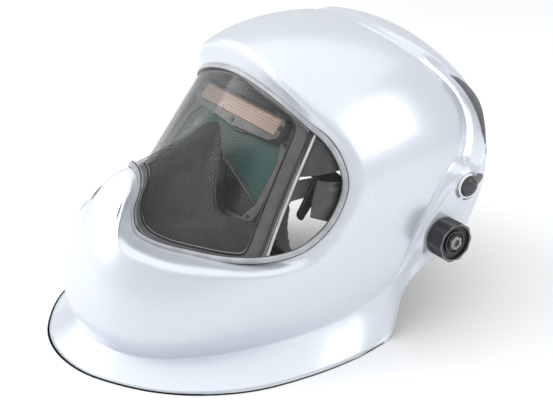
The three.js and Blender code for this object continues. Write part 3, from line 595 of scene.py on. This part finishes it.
def filter_glass():
    mat = new_material("filter_glass", (0.035, 0.09, 0.08), 0.3, 0.0, Specular_IOR_Level=0.15)
    tint = [(0.3, (0.03, 0.078, 0.07)), (0.7, (0.04, 0.1, 0.088))]
    ramp(mat, noise(mat, coordinates(mat), 12), tint, "Base Color")
    return mat


def solar_cells():
    """Copper-brown cells with rows of fine dark dots."""
    mat = new_material("solar_cells", (0.42, 0.28, 0.21), 0.3, 0.25)
    at = coordinates(mat, turn=(-CASSETTE_TILT, 0, 0))
    dots = node(mat, "ShaderNodeTexVoronoi", Scale=420.0, Randomness=0.0)
    link(mat, at, dots.inputs["Vector"])
    dotted = [(0.16, (0.09, 0.06, 0.05)), (0.24, (0.34, 0.24, 0.185))]
    ramp(mat, dots.outputs["Distance"], dotted, "Base Color")
    ramp(mat, noise(mat, at, 60), [(0.3, 0.24), (0.7, 0.36)], "Roughness")
    return mat


def knit_fabric():
    """Dark towelling: two crossed waves for the knit, and a fuzz."""
    mat = new_material("knit_fabric", (0.03, 0.031, 0.034), 0.9, Sheen_Weight=0.35, Sheen_Roughness=0.5)
    at = coordinates(mat)
    heights = []
    for axis in ("X", "Z"):
        wave = node(mat, "ShaderNodeTexWave", Scale=180.0, Distortion=1.5)
        wave.bands_direction = axis
        link(mat, at, wave.inputs["Vector"])
        heights.append(wave.outputs["Fac"])
    knit = node(mat, "ShaderNodeMath")
    knit.operation = "MULTIPLY"
    link(mat, heights[0], knit.inputs[0])
    link(mat, heights[1], knit.inputs[1])
    loops = [(0.1, (0.016, 0.017, 0.019)), (0.7, (0.05, 0.051, 0.056))]
    ramp(mat, knit.outputs["Value"], loops, "Base Color")
    bump(mat, knit.outputs["Value"], 0.0008, 0.8)
    return mat


def circuit_board():
    mat = new_material("circuit_board", (0.02, 0.12, 0.06), 0.45)
    tracks = node(mat, "ShaderNodeTexBrick", Scale=160.0)
    link(mat, coordinates(mat), tracks.inputs["Vector"])
    greens = [(0.3, (0.015, 0.1, 0.05)), (0.7, (0.2, 0.28, 0.12))]
    ramp(mat, tracks.outputs["Fac"], greens, "Base Color")
    return mat


def studio_floor():
    mat = new_material("studio_floor", (0.9, 0.9, 0.9), 0.6)
    ramp(mat, noise(mat, coordinates(mat), 3), [(0.3, 0.89), (0.7, 0.92)], "Base Color")
    return mat


PEARL = pearl_paint()
LINING = moulded("shell_lining", (0.13, 0.132, 0.136), (0.18, 0.183, 0.19), 0.5, 700, 0.0002)
PANEL_GREY = moulded("panel_grey", (0.055, 0.055, 0.056), (0.1, 0.1, 0.101), 0.45, 1500, 0.0003)
# Grey for the crescents round the button: painted shade.
TRIM_SHADOW = moulded("lip_shadow", (0.22, 0.225, 0.23), (0.32, 0.325, 0.33), 0.5, 900, 0.0001)
RAW_EDGE = moulded("raw_edge", (0.36, 0.31, 0.26), (0.5, 0.45, 0.4), 0.5, 700, 0.0002)
BLACK = moulded("satin_black", (0.010, 0.010, 0.011), (0.026, 0.026, 0.028), 0.36, 1400, 0.0001)
# Lighter black for the knob's rounded rims: a painted highlight.
KNOB_RIM_HIGHLIGHT = moulded("painted_rim_highlight", (0.09, 0.09, 0.09), (0.16, 0.16, 0.16), 0.4, 1400, 0.0001)
BAND_BLACK = moulded("band_black", (0.014, 0.014, 0.015), (0.035, 0.035, 0.037), 0.5, 900, 0.0002)
DARK_GREY = moulded("shroud_grey", (0.034, 0.033, 0.033), (0.046, 0.045, 0.045), 0.55, 1200, 0.0002)
MID_GREY = moulded("mid_grey", (0.11, 0.11, 0.115), (0.16, 0.16, 0.165), 0.45, 1100, 0.0002)
WARM_GREY = moulded("cassette_grey", (0.105, 0.098, 0.092), (0.15, 0.14, 0.13), 0.45, 1100, 0.0002)
# Light grey for the lens's ribs and the tray's lines: a painted highlight.
HIGHLIGHT_GREY = moulded("painted_highlight_grey", (0.42, 0.43, 0.44), (0.55, 0.56, 0.57), 0.3, 800, 0.0001)
SEAL = moulded("seal_rubber", (0.3, 0.31, 0.33), (0.42, 0.43, 0.45), 0.22, 500, 0.0001, Coat_Weight=0.8)
# Near black for the lines beside the seal and the lens's ribs, and for the strap holes: painted shade.
SHADE_DARK = moulded("painted_shade_dark", (0.03, 0.03, 0.032), (0.06, 0.06, 0.062), 0.4, 500, 0.0001)
BUTTON_GREY = moulded("button_grey", (0.03, 0.03, 0.032), (0.06, 0.06, 0.063), 0.28, 900, 0.0001)
WHITE = moulded("white_plastic", (0.78, 0.79, 0.81), (0.84, 0.85, 0.87), 0.28, 900, 0.0001)
STEEL = brushed_steel()
LENS = lens_glass()
TEAL = filter_glass()
SOLAR = solar_cells()
KNIT = knit_fabric()
BOARD = circuit_board()


# ---------------------------------------------------------------- meshes
def quads(rows, cols, wrap_rows=False, wrap_cols=False, start=0):
    """Faces of a grid of points whose first point has the number start."""
    faces = []
    for r in range(rows if wrap_rows else rows - 1):
        for c in range(cols if wrap_cols else cols - 1):
            after_r, after_c = (r + 1) % rows, (c + 1) % cols
            corners = ((r, c), (r, after_c), (after_r, after_c), (after_r, c))
            faces.append([start + a * cols + b for a, b in corners])
    return faces


def finished(obj, body, replaces, sharp):
    """Cleans the mesh, shades it smooth up to an angle and enters the piece in the frame."""
    mesh = obj.data
    made = bmesh.new()
    made.from_mesh(mesh)
    bmesh.ops.remove_doubles(made, verts=made.verts, dist=1e-6)
    bmesh.ops.recalc_face_normals(made, faces=made.faces)
    made.to_mesh(mesh)
    made.free()
    mesh.shade_smooth()
    mesh.set_sharp_from_angle(angle=math.radians(sharp))
    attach(obj, body)
    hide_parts(*replaces)


def make(name, points, faces, materials, body, slot, replaces=(), picks=None, sharp=40):
    """New piece from points in millimetres; picks gives each face its material."""
    mesh = bpy.data.meshes.new(name)
    metres = (np.asarray(points, float).reshape(-1, 3) - (0, MIDDLE_Y, 0)) / 1000
    mesh.from_pydata(metres.tolist(), [], faces)
    for material in materials:
        mesh.materials.append(material)
    if picks is not None:
        mesh.polygons.foreach_set("material_index", picks)
    obj = bpy.data.objects.new(name, mesh)
    bpy.context.scene.collection.objects.link(obj)
    finished(obj, body, replaces, sharp)
    return obj


def swept(grid, closed=False):
    """Points and faces of loops in a row, each loop closed, with its ends capped."""
    count, around = grid.shape[:2]
    faces = quads(count, around, wrap_rows=closed, wrap_cols=True)
    if not closed:
        faces.append(list(range(around)))
        faces.append([(count - 1) * around + k for k in range(around)])
    return grid.reshape(-1, 3), faces


def slab(front, back):
    """Points and faces of the plate between two grids, stitched round its border."""
    rows, cols = front.shape[:2]
    count = rows * cols
    border = list(range(cols - 1))
    border += [r * cols + cols - 1 for r in range(rows - 1)]
    border += [(rows - 1) * cols + c for c in range(cols - 1, 0, -1)]
    border += [r * cols for r in range(rows - 1, 0, -1)]
    faces = quads(rows, cols) + quads(rows, cols, start=count)
    for a, b in zip(border, border[1:] + border[:1]):
        faces.append([b, a, count + a, count + b])
    return np.concatenate([front.reshape(-1, 3), back.reshape(-1, 3)]), faces


def joined(parts):
    """Points, faces and material picks of several (points, faces, pick) parts."""
    points, faces, picks = [], [], []
    for part_points, part_faces, pick in parts:
        start = sum(len(p) for p in points)
        points.append(np.asarray(part_points, float).reshape(-1, 3))
        faces += [[start + k for k in face] for face in part_faces]
        picks += [pick] * len(part_faces)
    return np.concatenate(points), faces, picks


def tube(path, radius, closed=False, around=10, up=(0, 0, 1)):
    """Round tube along a path that nowhere runs in the direction up."""
    path = np.asarray(path, float)
    run = np.roll(path, -1, 0) - np.roll(path, 1, 0) if closed else np.gradient(path, axis=0)
    tangent = unit(run)
    side = unit(np.cross(tangent, up))
    rise = np.cross(side, tangent)
    loops = [path + radius * (side * math.cos(a) + rise * math.sin(a)) for a in full_turn(around)]
    return swept(np.stack(loops, 1), closed)


def turned(profile, at, side, radius_at=None, segments=96):
    """Body turned about the X axis through at, from (x, radius) pairs; side mirrors it.

    A pair with a third value has the radius that radius_at makes of it, angle by angle.
    """
    angles = full_turn(segments)
    loops = []
    for x, r, *shape in profile:
        radii = radius_at(angles, r, shape[0]) if shape else np.full(segments, r)
        loop = np.stack([np.full(segments, x), radii * np.cos(angles), radii * np.sin(angles)], -1)
        loops.append((loop + (0, at[1], at[2])) * (side, 1, 1))
    return swept(np.array(loops))


def rounded_section(half_height, inside, outside, radius):
    """Rounded rectangle of (height, outward) pairs."""
    corners = []
    middles = (
        (half_height - radius, outside - radius, 0), (-half_height + radius, outside - radius, 90),
        (-half_height + radius, inside + radius, 180), (half_height - radius, inside + radius, 270),
    )
    for v, out, first in middles:
        for angle in np.radians(first + np.linspace(0, 90, 5)):
            corners.append((v + radius * math.cos(angle), out + radius * math.sin(angle)))
    return corners


def paint(name, material):
    """Gives a CAD node, whose shape stays as it is, its finish."""
    for slot in NODES[name].material_slots:
        slot.material = material


def refine(name, material, width=0.5):
    """A CAD node's shape with rounded edges and its own material."""
    source = NODES[name]
    obj = bpy.data.objects.new(name + "_fine", source.data.copy())
    bpy.context.scene.collection.objects.link(obj)
    obj.data.materials.clear()
    obj.data.materials.append(material)
    made = bmesh.new()
    made.from_mesh(obj.data)
    bmesh.ops.remove_doubles(made, verts=made.verts, dist=1e-6)
    bmesh.ops.dissolve_limit(made, angle_limit=0.02, verts=made.verts, edges=made.edges)
    sharp = [e for e in made.edges if len(e.link_faces) == 2 and e.calc_face_angle() > 0.7]
    width = width / 1000
    bmesh.ops.bevel(made, geom=sharp, offset=width, segments=2, affect="EDGES", clamp_overlap=True)
    made.to_mesh(obj.data)
    made.free()
    finished(obj, source["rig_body"], [name], 35)


# ---------------------------------------------------------------- shell, seal and lens
def build_shell():
    """Shell from its outer rows, a rounded raw edge and the lining back to the seal."""
    outer, normals = shell_rows()
    lining = relaxed(outer - normals * SHELL_THICKNESS, np.ones(len(outer)), 3)
    out_dir = unit(outer[-1] - outer[-2])
    middle = (outer[-1] + lining[-1]) / 2
    rounding = ((0.75, 0.7), (0, 1.0), (-0.75, 0.7))
    edge = [middle + (outer[-1] - middle) * across + out_dir * out for across, out in rounding]
    grid = np.concatenate([outer, edge, lining[::-1]])
    grid[..., 2] = np.maximum(grid[..., 2], 0)
    faces = quads(len(grid), COLUMNS, wrap_rows=True, wrap_cols=True)
    picks = np.zeros(len(faces), int)
    edge_first = (len(outer) - 1) * COLUMNS
    edge_end = edge_first + (len(edge) + 1) * COLUMNS
    picks[edge_first:edge_end] = 1
    picks[edge_end:] = 2
    make(
        "shell_fine", grid, faces, [PEARL, RAW_EDGE, LINING], "shell", "shell_paint", ["helmet_shell"],
        picks.tolist(), 60,
    )


def build_seal():
    """Rubber lip round the window, with a dark line of painted shade along each side of it."""
    radius = 2.3
    inward = into_window(SEAL_LOOP, SEAL_TANGENT)
    up = facing_out(np.cross(SEAL_TANGENT, inward))
    middle = SEAL_LOOP + up * 0.7 + inward * 0.2
    rings = [middle + radius * (inward * math.cos(a) + up * math.sin(a)) for a in full_turn(18)]
    parts = [(*swept(np.stack(rings, 1), True), 0)]
    for share in (-1.0, 1.0):
        parts.append((*tube(middle + inward * share * radius + up * 0.5, 0.45, True), 1))
    points, faces, picks = joined(parts)
    make("window_seal_fine", points, faces, [SEAL, SHADE_DARK], "shell", "seal", ["window_seal"], picks)


def build_lens():
    front = lens_rows()
    back = front - facing_out(grid_normals(front, False)) * LENS_THICKNESS
    points, faces = slab(front, back)
    make("cover_lens_fine", points, faces, [LENS], "shell", "clear_lens", ["cover_lens"], None, 50)
    return front


def lens_ribs(front):
    """Raised rib on each side of the lens, light grey as a painted highlight, and a dark line of painted
    shade before it.
    """
    v = np.linspace(0.01, 0.99, 40)
    rib = RIB_COLUMNS[0] + (RIB_COLUMNS[1] - RIB_COLUMNS[0]) * v
    parts = []
    for _, side in SIDES:
        for shift, depth, radius, pick in ((0.1, 0.2, 1.0, 0), (-0.12, 0.9, 0.7, 1)):
            path = on_lens(front, rib + shift, v, depth) * (side, 1, 1)
            parts.append((*tube(path, radius, around=12), pick))
    points, faces, picks = joined(parts)
    make("lens_ribs", points, faces, [HIGHLIGHT_GREY, SHADE_DARK], "shell", "clear_lens", (), picks)


# ---------------------------------------------------------------- holder and cassette
def build_holder(front):
    """Tray and shroud behind the lens, with two light grey lines of painted highlight round its rim and its
    step, and a black line of painted shade along the step.
    """
    rows, rim, step = tray_rows(front)
    tray, tray_faces = swept(rows, True)
    parts = [
        (tray, tray_faces, 0),
        (*tube(rim + (0, -0.3, 0), 0.5, True), 1),
        (*tube(step, 0.8, True), 3),
        (*tube(step * (0.985, 1, 1) + (0, 0.6, 0.4), 0.45, True), 1),
    ]
    points, faces, picks = joined(parts)
    rim_faces = TRAY_RIM_ROWS * rows.shape[1]
    picks[:rim_faces] = [2] * rim_faces
    make(
        "lens_holder_fine", points, faces, [DARK_GREY, HIGHLIGHT_GREY, MID_GREY, BLACK], "shell",
        "grey_plastic", ["lens_holder"], picks, 30,
    )


def along_edge(edge, count):
    """Points evenly along an edge given by its (y, z) corners."""
    corners = np.linspace(0, 1, len(edge))
    along = np.linspace(0, 1, count)
    return np.stack([np.interp(along, corners, values) for values in zip(*edge)], -1)


def between_edges(edges):
    """Grid of points (y, z) that fills the room between two edges."""
    front, rear = (along_edge(edge, 48) for edge in edges)
    return front + (rear - front) * np.linspace(0, 1, 12)[:, None, None]


def behind_lens(front, at, depth):
    """Points at (y, z) on the wearer's left side of the lens, moved in by a depth."""
    near = front[len(front) // 2:].reshape(-1, 3)
    gaps = (near[:, None, None, 1] - at[..., 0]) ** 2 + (near[:, None, None, 2] - at[..., 1]) ** 2
    weight = np.exp(-gaps / 3) + 1e-12
    weight /= weight.sum(0)
    x = np.einsum("nij,n->ij", weight, near[:, 0]) - depth
    return np.stack([x, at[..., 0], at[..., 1]], -1)


def build_side_panels(front):
    """Panels behind the side of the lens, one above the latch and one behind it."""
    for side_name, side in SIDES:
        for name, edges in SIDE_PANELS.items():
            at = between_edges(edges)
            faces = [behind_lens(front, at, depth) * (side, 1, 1) for depth in (3.2, 4.4)]
            make(f"{name}_panel_{side_name}", *slab(*faces), [PANEL_GREY], "shell", "grey_plastic")
        refine(f"latch_bracket_{side_name}", MID_GREY, 0.5)


def cassette_plate(name, outline, depths):
    """Black plate parallel to the cassette's face, from one depth to another."""
    loops = [[cassette_point(x, y, depth) for x, y in outline] for depth in depths]
    make(name, *swept(np.array(loops)), [BLACK], "shell", "black_plastic")


FILTER_MASK = [(5, -2), (8, -7), (36, -33.5), (60, -31.5), (66.5, -19)]
HOUSING_SCREWS = ((61.5, 29), (66, -29))


def build_cassette():
    face = -BAR_DEPTH - GAP
    paint("cassette_bezel", WARM_GREY)
    paint("cassette_housing", WARM_GREY)
    refine("filter_glass", TEAL, 0.4)
    refine("solar_strip", SOLAR, 0.2)
    refine("inner_cover_lens", LENS, 0.3)
    refine("control_board", BOARD, 0.2)
    for name in ("light_sensor_left", "light_sensor_right", "light_sensor_centre"):
        refine(name, BLACK, 0.3)
    for name in ("shade_dial", "sensitivity_dial", "delay_switch"):
        refine(name, MID_GREY, 0.4)
    for side_name, side in SIDES:
        outline = [(side * x, y) for x, y in FILTER_MASK]
        cassette_plate(f"filter_mask_{side_name}", outline, (face - 1.2, face + 0.25))
        for row, (x, y) in enumerate(HOUSING_SCREWS):
            ring = [(side * x + 1.9 * math.cos(a), y + 1.5 * math.sin(a)) for a in full_turn(20)]
            cassette_plate(f"housing_screw_{side_name}_{row}", ring, (face - 0.4, face + 0.3))
        refine(f"cassette_latch_{side_name}", BLACK, 0.7)


# ---------------------------------------------------------------- ears
def scalloped(angles, radius, depth):
    """Radius with ten shallow grips round it."""
    place = (angles * 10 / (2 * math.pi)) % 1
    return radius - depth * 1.4 * np.sin(math.pi * place) ** 2


def hexagonal(angles, radius, _):
    """Radius of a hexagon with these corners; its profile's third value only marks the row."""
    sector = (angles + math.pi / 6) % (math.pi / 3) - math.pi / 6
    return radius * math.cos(math.pi / 6) / np.cos(sector)


# Profiles turned about the pivot's axis: (x, radius), and how far a row is shaped.
KNOB_PROFILE = [
    (115.35, 3.4), (115.35, 14.2), (115.9, 15.2), (116.6, 15.6, 0.4), (118.5, 15.8, 1.0), (124, 15.9, 1.0),
    (130.2, 15.9, 1.0), (131.0, 15.8, 0.8), (131.4, 15.4, 0.6), (131.5, 14.9, 0.5), (131.5, 13.9, 0.3),
    (131.3, 13.5), (130.8, 13.3), (128.7, 13.1), (128.5, 12.7), (128.5, 9.4), (128.8, 9.2),
    (130.2, 9.1), (130.4, 8.9), (130.4, 8.5), (130.2, 8.3), (128.7, 8.2), (128.5, 7.8), (128.5, 3.4),
    (127, 3.35),
]
BOLT_PROFILE = [
    (101.3, 0.1), (101.3, 2.7), (101.6, 3.0), (128.7, 3.0), (128.8, 5.5, 1), (129.1, 5.8, 1),
    (131.9, 5.8, 1), (132.25, 5.5, 1), (132.3, 5.2, 1), (132.3, 3.4, 1), (132.1, 3.2, 1),
    (130.0, 3.1, 1), (129.9, 0.1),
]


# Rings of the knob's profile at the rounded rims, given a lighter black as a painted highlight.
KNOB_RIMS = (8, 9, 10, 18)
KNOB_SEGMENTS = 200


def build_pivot(side_name, side):
    points, faces = turned(KNOB_PROFILE, PIVOT, side, scalloped, KNOB_SEGMENTS)
    rings = np.repeat(np.arange(len(KNOB_PROFILE) - 1), KNOB_SEGMENTS)
    picks = np.isin(rings, KNOB_RIMS).astype(int).tolist() + [0, 0]
    make(
        f"knob_fine_{side_name}", points, faces, [BLACK, KNOB_RIM_HIGHLIGHT], f"knob_{side_name}",
        "black_plastic", [f"tension_knob_{side_name}"], picks, 35,
    )
    points, faces = turned(BOLT_PROFILE, PIVOT, side, hexagonal)
    make(
        f"bolt_fine_{side_name}", points, faces, [STEEL], "pivots", "steel",
        [f"hex_bolt_{side_name}"], None, 30,
    )
    refine(f"friction_washer_{side_name}", KNIT, 0.2)
    refine(f"tilt_disc_{side_name}", MID_GREY, 0.4)
    refine(f"pivot_carriage_{side_name}", MID_GREY, 0.7)


def button_tab():
    """Flat tab from the button's dome up and back, rounded at its far end."""
    start, end = np.array([118.9, 128.2, 113.6]), np.array([118.9, 134.4, 118.4])
    flat = np.cross(unit(end - start), (1, 0, 0))
    loops = []
    for s in np.linspace(0, 1, 12):
        wide = 3.8 * math.sqrt(max(1 - max(s - 0.45, 0) ** 2 / 0.31, 0.004))
        centre = start + (end - start) * s
        rise = np.array([1.5, 0, 0])
        loops.append([centre + flat * wide * math.cos(a) + rise * math.sin(a) for a in full_turn(28)])
    return swept(np.array(loops))


def build_button():
    stem = [(109.4, 0.1), (109.4, 8.6), (109.6, 8.8), (111.4, 8.8), (111.6, 8.6), (111.6, 8), (117, 8)]
    rounding = np.radians(np.linspace(0, 88, 14))
    dome = [(117.4 + 3.6 * math.sin(a), 7.9 * math.cos(a)) for a in rounding]
    parts = [(*turned(stem + dome, BUTTON_AT, 1), 0), (*button_tab(), 1)]
    points, faces, picks = joined(parts)
    make(
        "grind_button_fine", points, faces, [BUTTON_GREY, MID_GREY], "button", "black_plastic",
        ["grind_button"], picks, 35,
    )


def button_arc(first, last, radius, section):
    """Section swept round the button's axis between two angles in degrees."""
    loops = []
    for a in np.radians(np.linspace(first, last, 60)):
        out = np.array([0, math.cos(a), math.sin(a)])
        loops.append([BUTTON_AT + out * (radius + v) + (x, 0, 0) for v, x in section])
    return swept(np.array(loops))


def build_button_ring():
    """White lip, open towards the button's tab, with grey crescents of painted shade outside it."""
    lip = rounded_section(0.75, BOSS_FACE_X + GAP, BOSS_FACE_X + 2.3, 0.5)
    crescent = rounded_section(1.0, BOSS_FACE_X + 0.05, BOSS_FACE_X + 0.5, 0.15)
    parts = [(*button_arc(74, 362, 9.05, lip), 0)]
    for first, last in ((186, 226), (255, 300)):
        parts.append((*button_arc(first, last, 10.9, crescent), 1))
    points, faces, picks = joined(parts)
    make("button_lip", points, faces, [WHITE, TRIM_SHADOW], "shell", "white_plastic", ["button_ring"], picks)
    refine("grind_switch", MID_GREY, 0.4)


# ---------------------------------------------------------------- headgear
def oval_point(angle, height, out):
    """On the band, in degrees from the middle of the forehead."""
    a = math.radians(angle)
    return (
        (HEAD_HALF_WIDTH + out) * math.sin(a),
        HEAD_MIDDLE_Y - (HEAD_HALF_LENGTH + out) * math.cos(a),
        height,
    )


def cross_arch_point(station, v, out):
    """On the arch from ear to ear, in degrees; a station below 0 is its end, inside the band."""
    a = math.radians(max(station, 0))
    drop = -25 if station < 0 else 0
    radius = HEAD_HALF_WIDTH + 1.2 + out
    return (radius * math.cos(a), -16 + v, CROWN_BASE + drop + radius * math.sin(a))


def long_arch_point(station, v, out):
    """On the arch from the forehead to the nape, in the same way."""
    a = math.radians(max(station, 0))
    drop = -20 if station < 0 else 0
    reach = HEAD_HALF_LENGTH + BAND_THICKNESS + 0.5 + out
    return (v, HEAD_MIDDLE_Y - reach * math.cos(a), CROWN_BASE + 0.3 + drop + (72 + out) * math.sin(a))


def band_half_height(angle):
    return 16 - 4 * (angle / BAND_REACH) ** 2


def strap_half_height(_):
    return STRAP_HALF_HEIGHT


def strap(name, point, stations, half_height, depths, node_name, mirror=1):
    """Strap with rounded edges, following point(station, height, outward)."""
    radius = min(0.7, (depths[1] - depths[0]) / 2.1)
    loops = []
    for station in stations:
        section = rounded_section(half_height(station), *depths, radius)
        loops.append([point(station, v, out) for v, out in section])
    points, faces = swept(parked(np.array(loops) * (mirror, 1, 1)))
    make(name, points, faces, [BAND_BLACK], "headgear", "black_plastic", [node_name])


def strap_holes(name, point, stations, out, mirror=1):
    """Row of small adjusting holes along a strap, each a dark disc of painted shade."""
    parts = []
    for station in stations:
        centre = np.array(point(station, 0, out)) * (mirror, 1, 1)
        ahead = np.array(point(station + 1, 0, out)) * (mirror, 1, 1)
        above = np.array(point(station, 1, out)) * (mirror, 1, 1)
        along, up = unit(ahead - centre), unit(above - centre)
        outward = np.array(point(station, 0, out + 1)) * (mirror, 1, 1) - centre
        radius = STRAP_HOLE_RADIUS
        ring = [centre + radius * (along * math.cos(a) + up * math.sin(a)) for a in full_turn(16)]
        loops = [np.array(ring) - outward * 0.3, np.array(ring) + outward * 0.06]
        parts.append((*swept(parked(np.array(loops))), 0))
    points, faces, picks = joined(parts)
    make(name, points, faces, [SHADE_DARK], "headgear", "black_plastic", (), picks)


def strap_teeth(name, side, out):
    """Row of low teeth across a rear strap, where the ratchet's pinion runs."""
    parts = []
    for angle in np.arange(118, 152, 3.2):
        low = oval_point(side * angle, -4.5, out)
        high = oval_point(side * angle, 4.5, out)
        path = parked(np.array([low, np.add(low, high) / 2, high]))
        parts.append((*tube(path, 0.55, up=(1, 0, 0)), 0))
    points, faces, picks = joined(parts)
    make(name, points, faces, [BAND_BLACK], "headgear", "black_plastic", (), picks)


def build_straps(side_name, side):
    rear = REAR_STRAP_DEPTH[side_name]
    strap(
        f"rear_strap_fine_{side_name}", oval_point, side * np.linspace(103, 194, 50),
        strap_half_height, (rear, rear + STRAP_THICKNESS), f"rear_strap_{side_name}",
    )
    crown = CROWN_STRAP_DEPTH[side_name]
    strap(
        f"crown_strap_fine_{side_name}", cross_arch_point, np.r_[-6, np.linspace(0, 104, 60)],
        strap_half_height, (crown, crown + STRAP_THICKNESS), f"crown_strap_{side_name}", side,
    )
    strap_holes(
        f"crown_holes_{side_name}", cross_arch_point, range(46, 78, 7), crown + STRAP_THICKNESS, side,
    )
    refine(f"side_arm_{side_name}", BAND_BLACK, 1.0)
    strap_teeth(f"strap_teeth_{side_name}", side, rear + STRAP_THICKNESS)


def build_headgear():
    strap(
        "band_fine", oval_point, np.linspace(-BAND_REACH, BAND_REACH, 120), band_half_height,
        (0, BAND_THICKNESS), "forehead_band",
    )
    for side_name, side in SIDES:
        build_straps(side_name, side)
    strap(
        "crown_strap_long_fine", long_arch_point, np.r_[-6, np.linspace(0, 180, 100)],
        strap_half_height, (0, STRAP_THICKNESS), "crown_strap_long",
    )
    refine("ratchet_housing", BAND_BLACK, 1.6)
    refine("ratchet_knob", MID_GREY, 1.0)
    refine("crown_peg", MID_GREY, 0.6)


# Frames of the simulation, and the furthest a point may move in it, in metres.
PUFF_STEPS = 20
PUFF_LIMIT = 0.0006


def pad(name, source_name, half_angle, middle_angle, half_height, depths):
    """Padded piece: a crowned slab on the band, a little smaller than the solid it stands for,
    then puffed up by a short cloth simulation."""
    loops = []
    for share in np.linspace(-1, 1, 60):
        taper = math.sqrt(max(1 - abs(share) ** 8, 0.02))
        thick = (depths[1] - depths[0]) / 2 * 0.82 * taper
        middle = (depths[0] + depths[1]) / 2
        section = rounded_section(half_height * 0.95 * taper, middle - thick, middle + thick, thick * 0.8)
        angle = middle_angle + share * half_angle * 0.98
        loops.append([oval_point(angle, v, out) for v, out in section])
    obj = make(name, *swept(parked(np.array(loops))), [KNIT], "headgear", "foam", [source_name])
    puff(obj)


def apply_modifiers(obj):
    view = bpy.context.evaluated_depsgraph_get()
    mesh = bpy.data.meshes.new_from_object(obj.evaluated_get(view))
    obj.modifiers.clear()
    obj.data = mesh


def puff(obj):
    """Blows the piece up as cloth, no point further than PUFF_LIMIT, and smooths it."""
    remesh = obj.modifiers.new("Remesh", "REMESH")
    remesh.mode = "VOXEL"
    remesh.voxel_size = 0.004
    apply_modifiers(obj)
    before = np.array([v.co for v in obj.data.vertices])
    cloth = obj.modifiers.new("Cloth", "CLOTH")
    cloth.settings.use_pressure = True
    cloth.settings.uniform_pressure_force = 4
    cloth.settings.effector_weights.gravity = 0
    scene = bpy.context.scene
    for step in range(1, PUFF_STEPS + 1):
        scene.frame_set(step)
    apply_modifiers(obj)
    scene.frame_set(1)
    after = np.array([v.co for v in obj.data.vertices])
    move = after - before
    length = np.linalg.norm(move, axis=1, keepdims=True)
    capped = before + move * np.minimum(1, PUFF_LIMIT / np.maximum(length, 1e-9))
    for vertex, place in zip(obj.data.vertices, capped):
        vertex.co = place
    obj.modifiers.new("Subdivision", "SUBSURF").levels = 1
    apply_modifiers(obj)
    obj.data.materials.clear()
    obj.data.materials.append(KNIT)
    obj.data.shade_smooth()


# ---------------------------------------------------------------- stage, light and camera
def build_stage():
    bpy.ops.mesh.primitive_plane_add(size=9, location=(0, 0, -0.0005))
    floor = bpy.context.object
    floor.name = "studio_floor"
    floor.data.materials.append(studio_floor())
    world = bpy.data.worlds.new("studio")
    world.use_nodes = True
    world.node_tree.nodes["Background"].inputs["Color"].default_value = (0.97, 0.985, 1, 1)
    world.node_tree.nodes["Background"].inputs["Strength"].default_value = 0.72
    bpy.context.scene.world = world
    bpy.context.scene.view_settings.view_transform = "Standard"


def area_light(name, place, aim, size, watts):
    light = bpy.data.lights.new(name, "AREA")
    light.shape = "RECTANGLE"
    light.size, light.size_y = size
    light.energy = watts
    obj = bpy.data.objects.new(name, light)
    bpy.context.scene.collection.objects.link(obj)
    obj.location = place
    obj.rotation_euler = (Vector(aim) - Vector(place)).to_track_quat("-Z", "Y").to_euler()


def build_camera():
    camera = bpy.data.cameras.new("camera")
    camera.lens = 74.86
    camera.sensor_width = 36
    camera.shift_x = 0.0027
    camera.shift_y = -0.0063
    obj = bpy.data.objects.new("camera", camera)
    bpy.context.scene.collection.objects.link(obj)
    target = Vector((0.1094, -0.0635, 0.138))
    obj.location = (0.7051, -0.4578, 0.4561)
    obj.rotation_euler = (target - obj.location).to_track_quat("-Z", "Y").to_euler()
    bpy.context.scene.camera = obj


build_camera()
build_stage()
area_light("overhead", (0.1, -0.1, 1.5), (0, 0, 0.1), (2.6, 2.4), 14)
area_light("window_left", (-1.1, -1.3, 0.9), (0, -0.1, 0.12), (1.6, 1.3), 20)
area_light("back_right", (1.2, 0.8, 0.8), (0, 0, 0.12), (0.7, 0.9), 5)

build_shell()
build_seal()
lens_front = build_lens()
lens_ribs(lens_front)
build_holder(lens_front)
build_side_panels(lens_front)
build_cassette()
for pivot_name, pivot_side in SIDES:
    build_pivot(pivot_name, pivot_side)
build_button()
build_button_ring()
build_headgear()
pad("sweatband_fine", "sweatband", 72, 0, 17, (-6.3, -0.3))
pad("nape_pad_fine", "nape_pad", 32, 180, 20, (-8.8, -1.8))
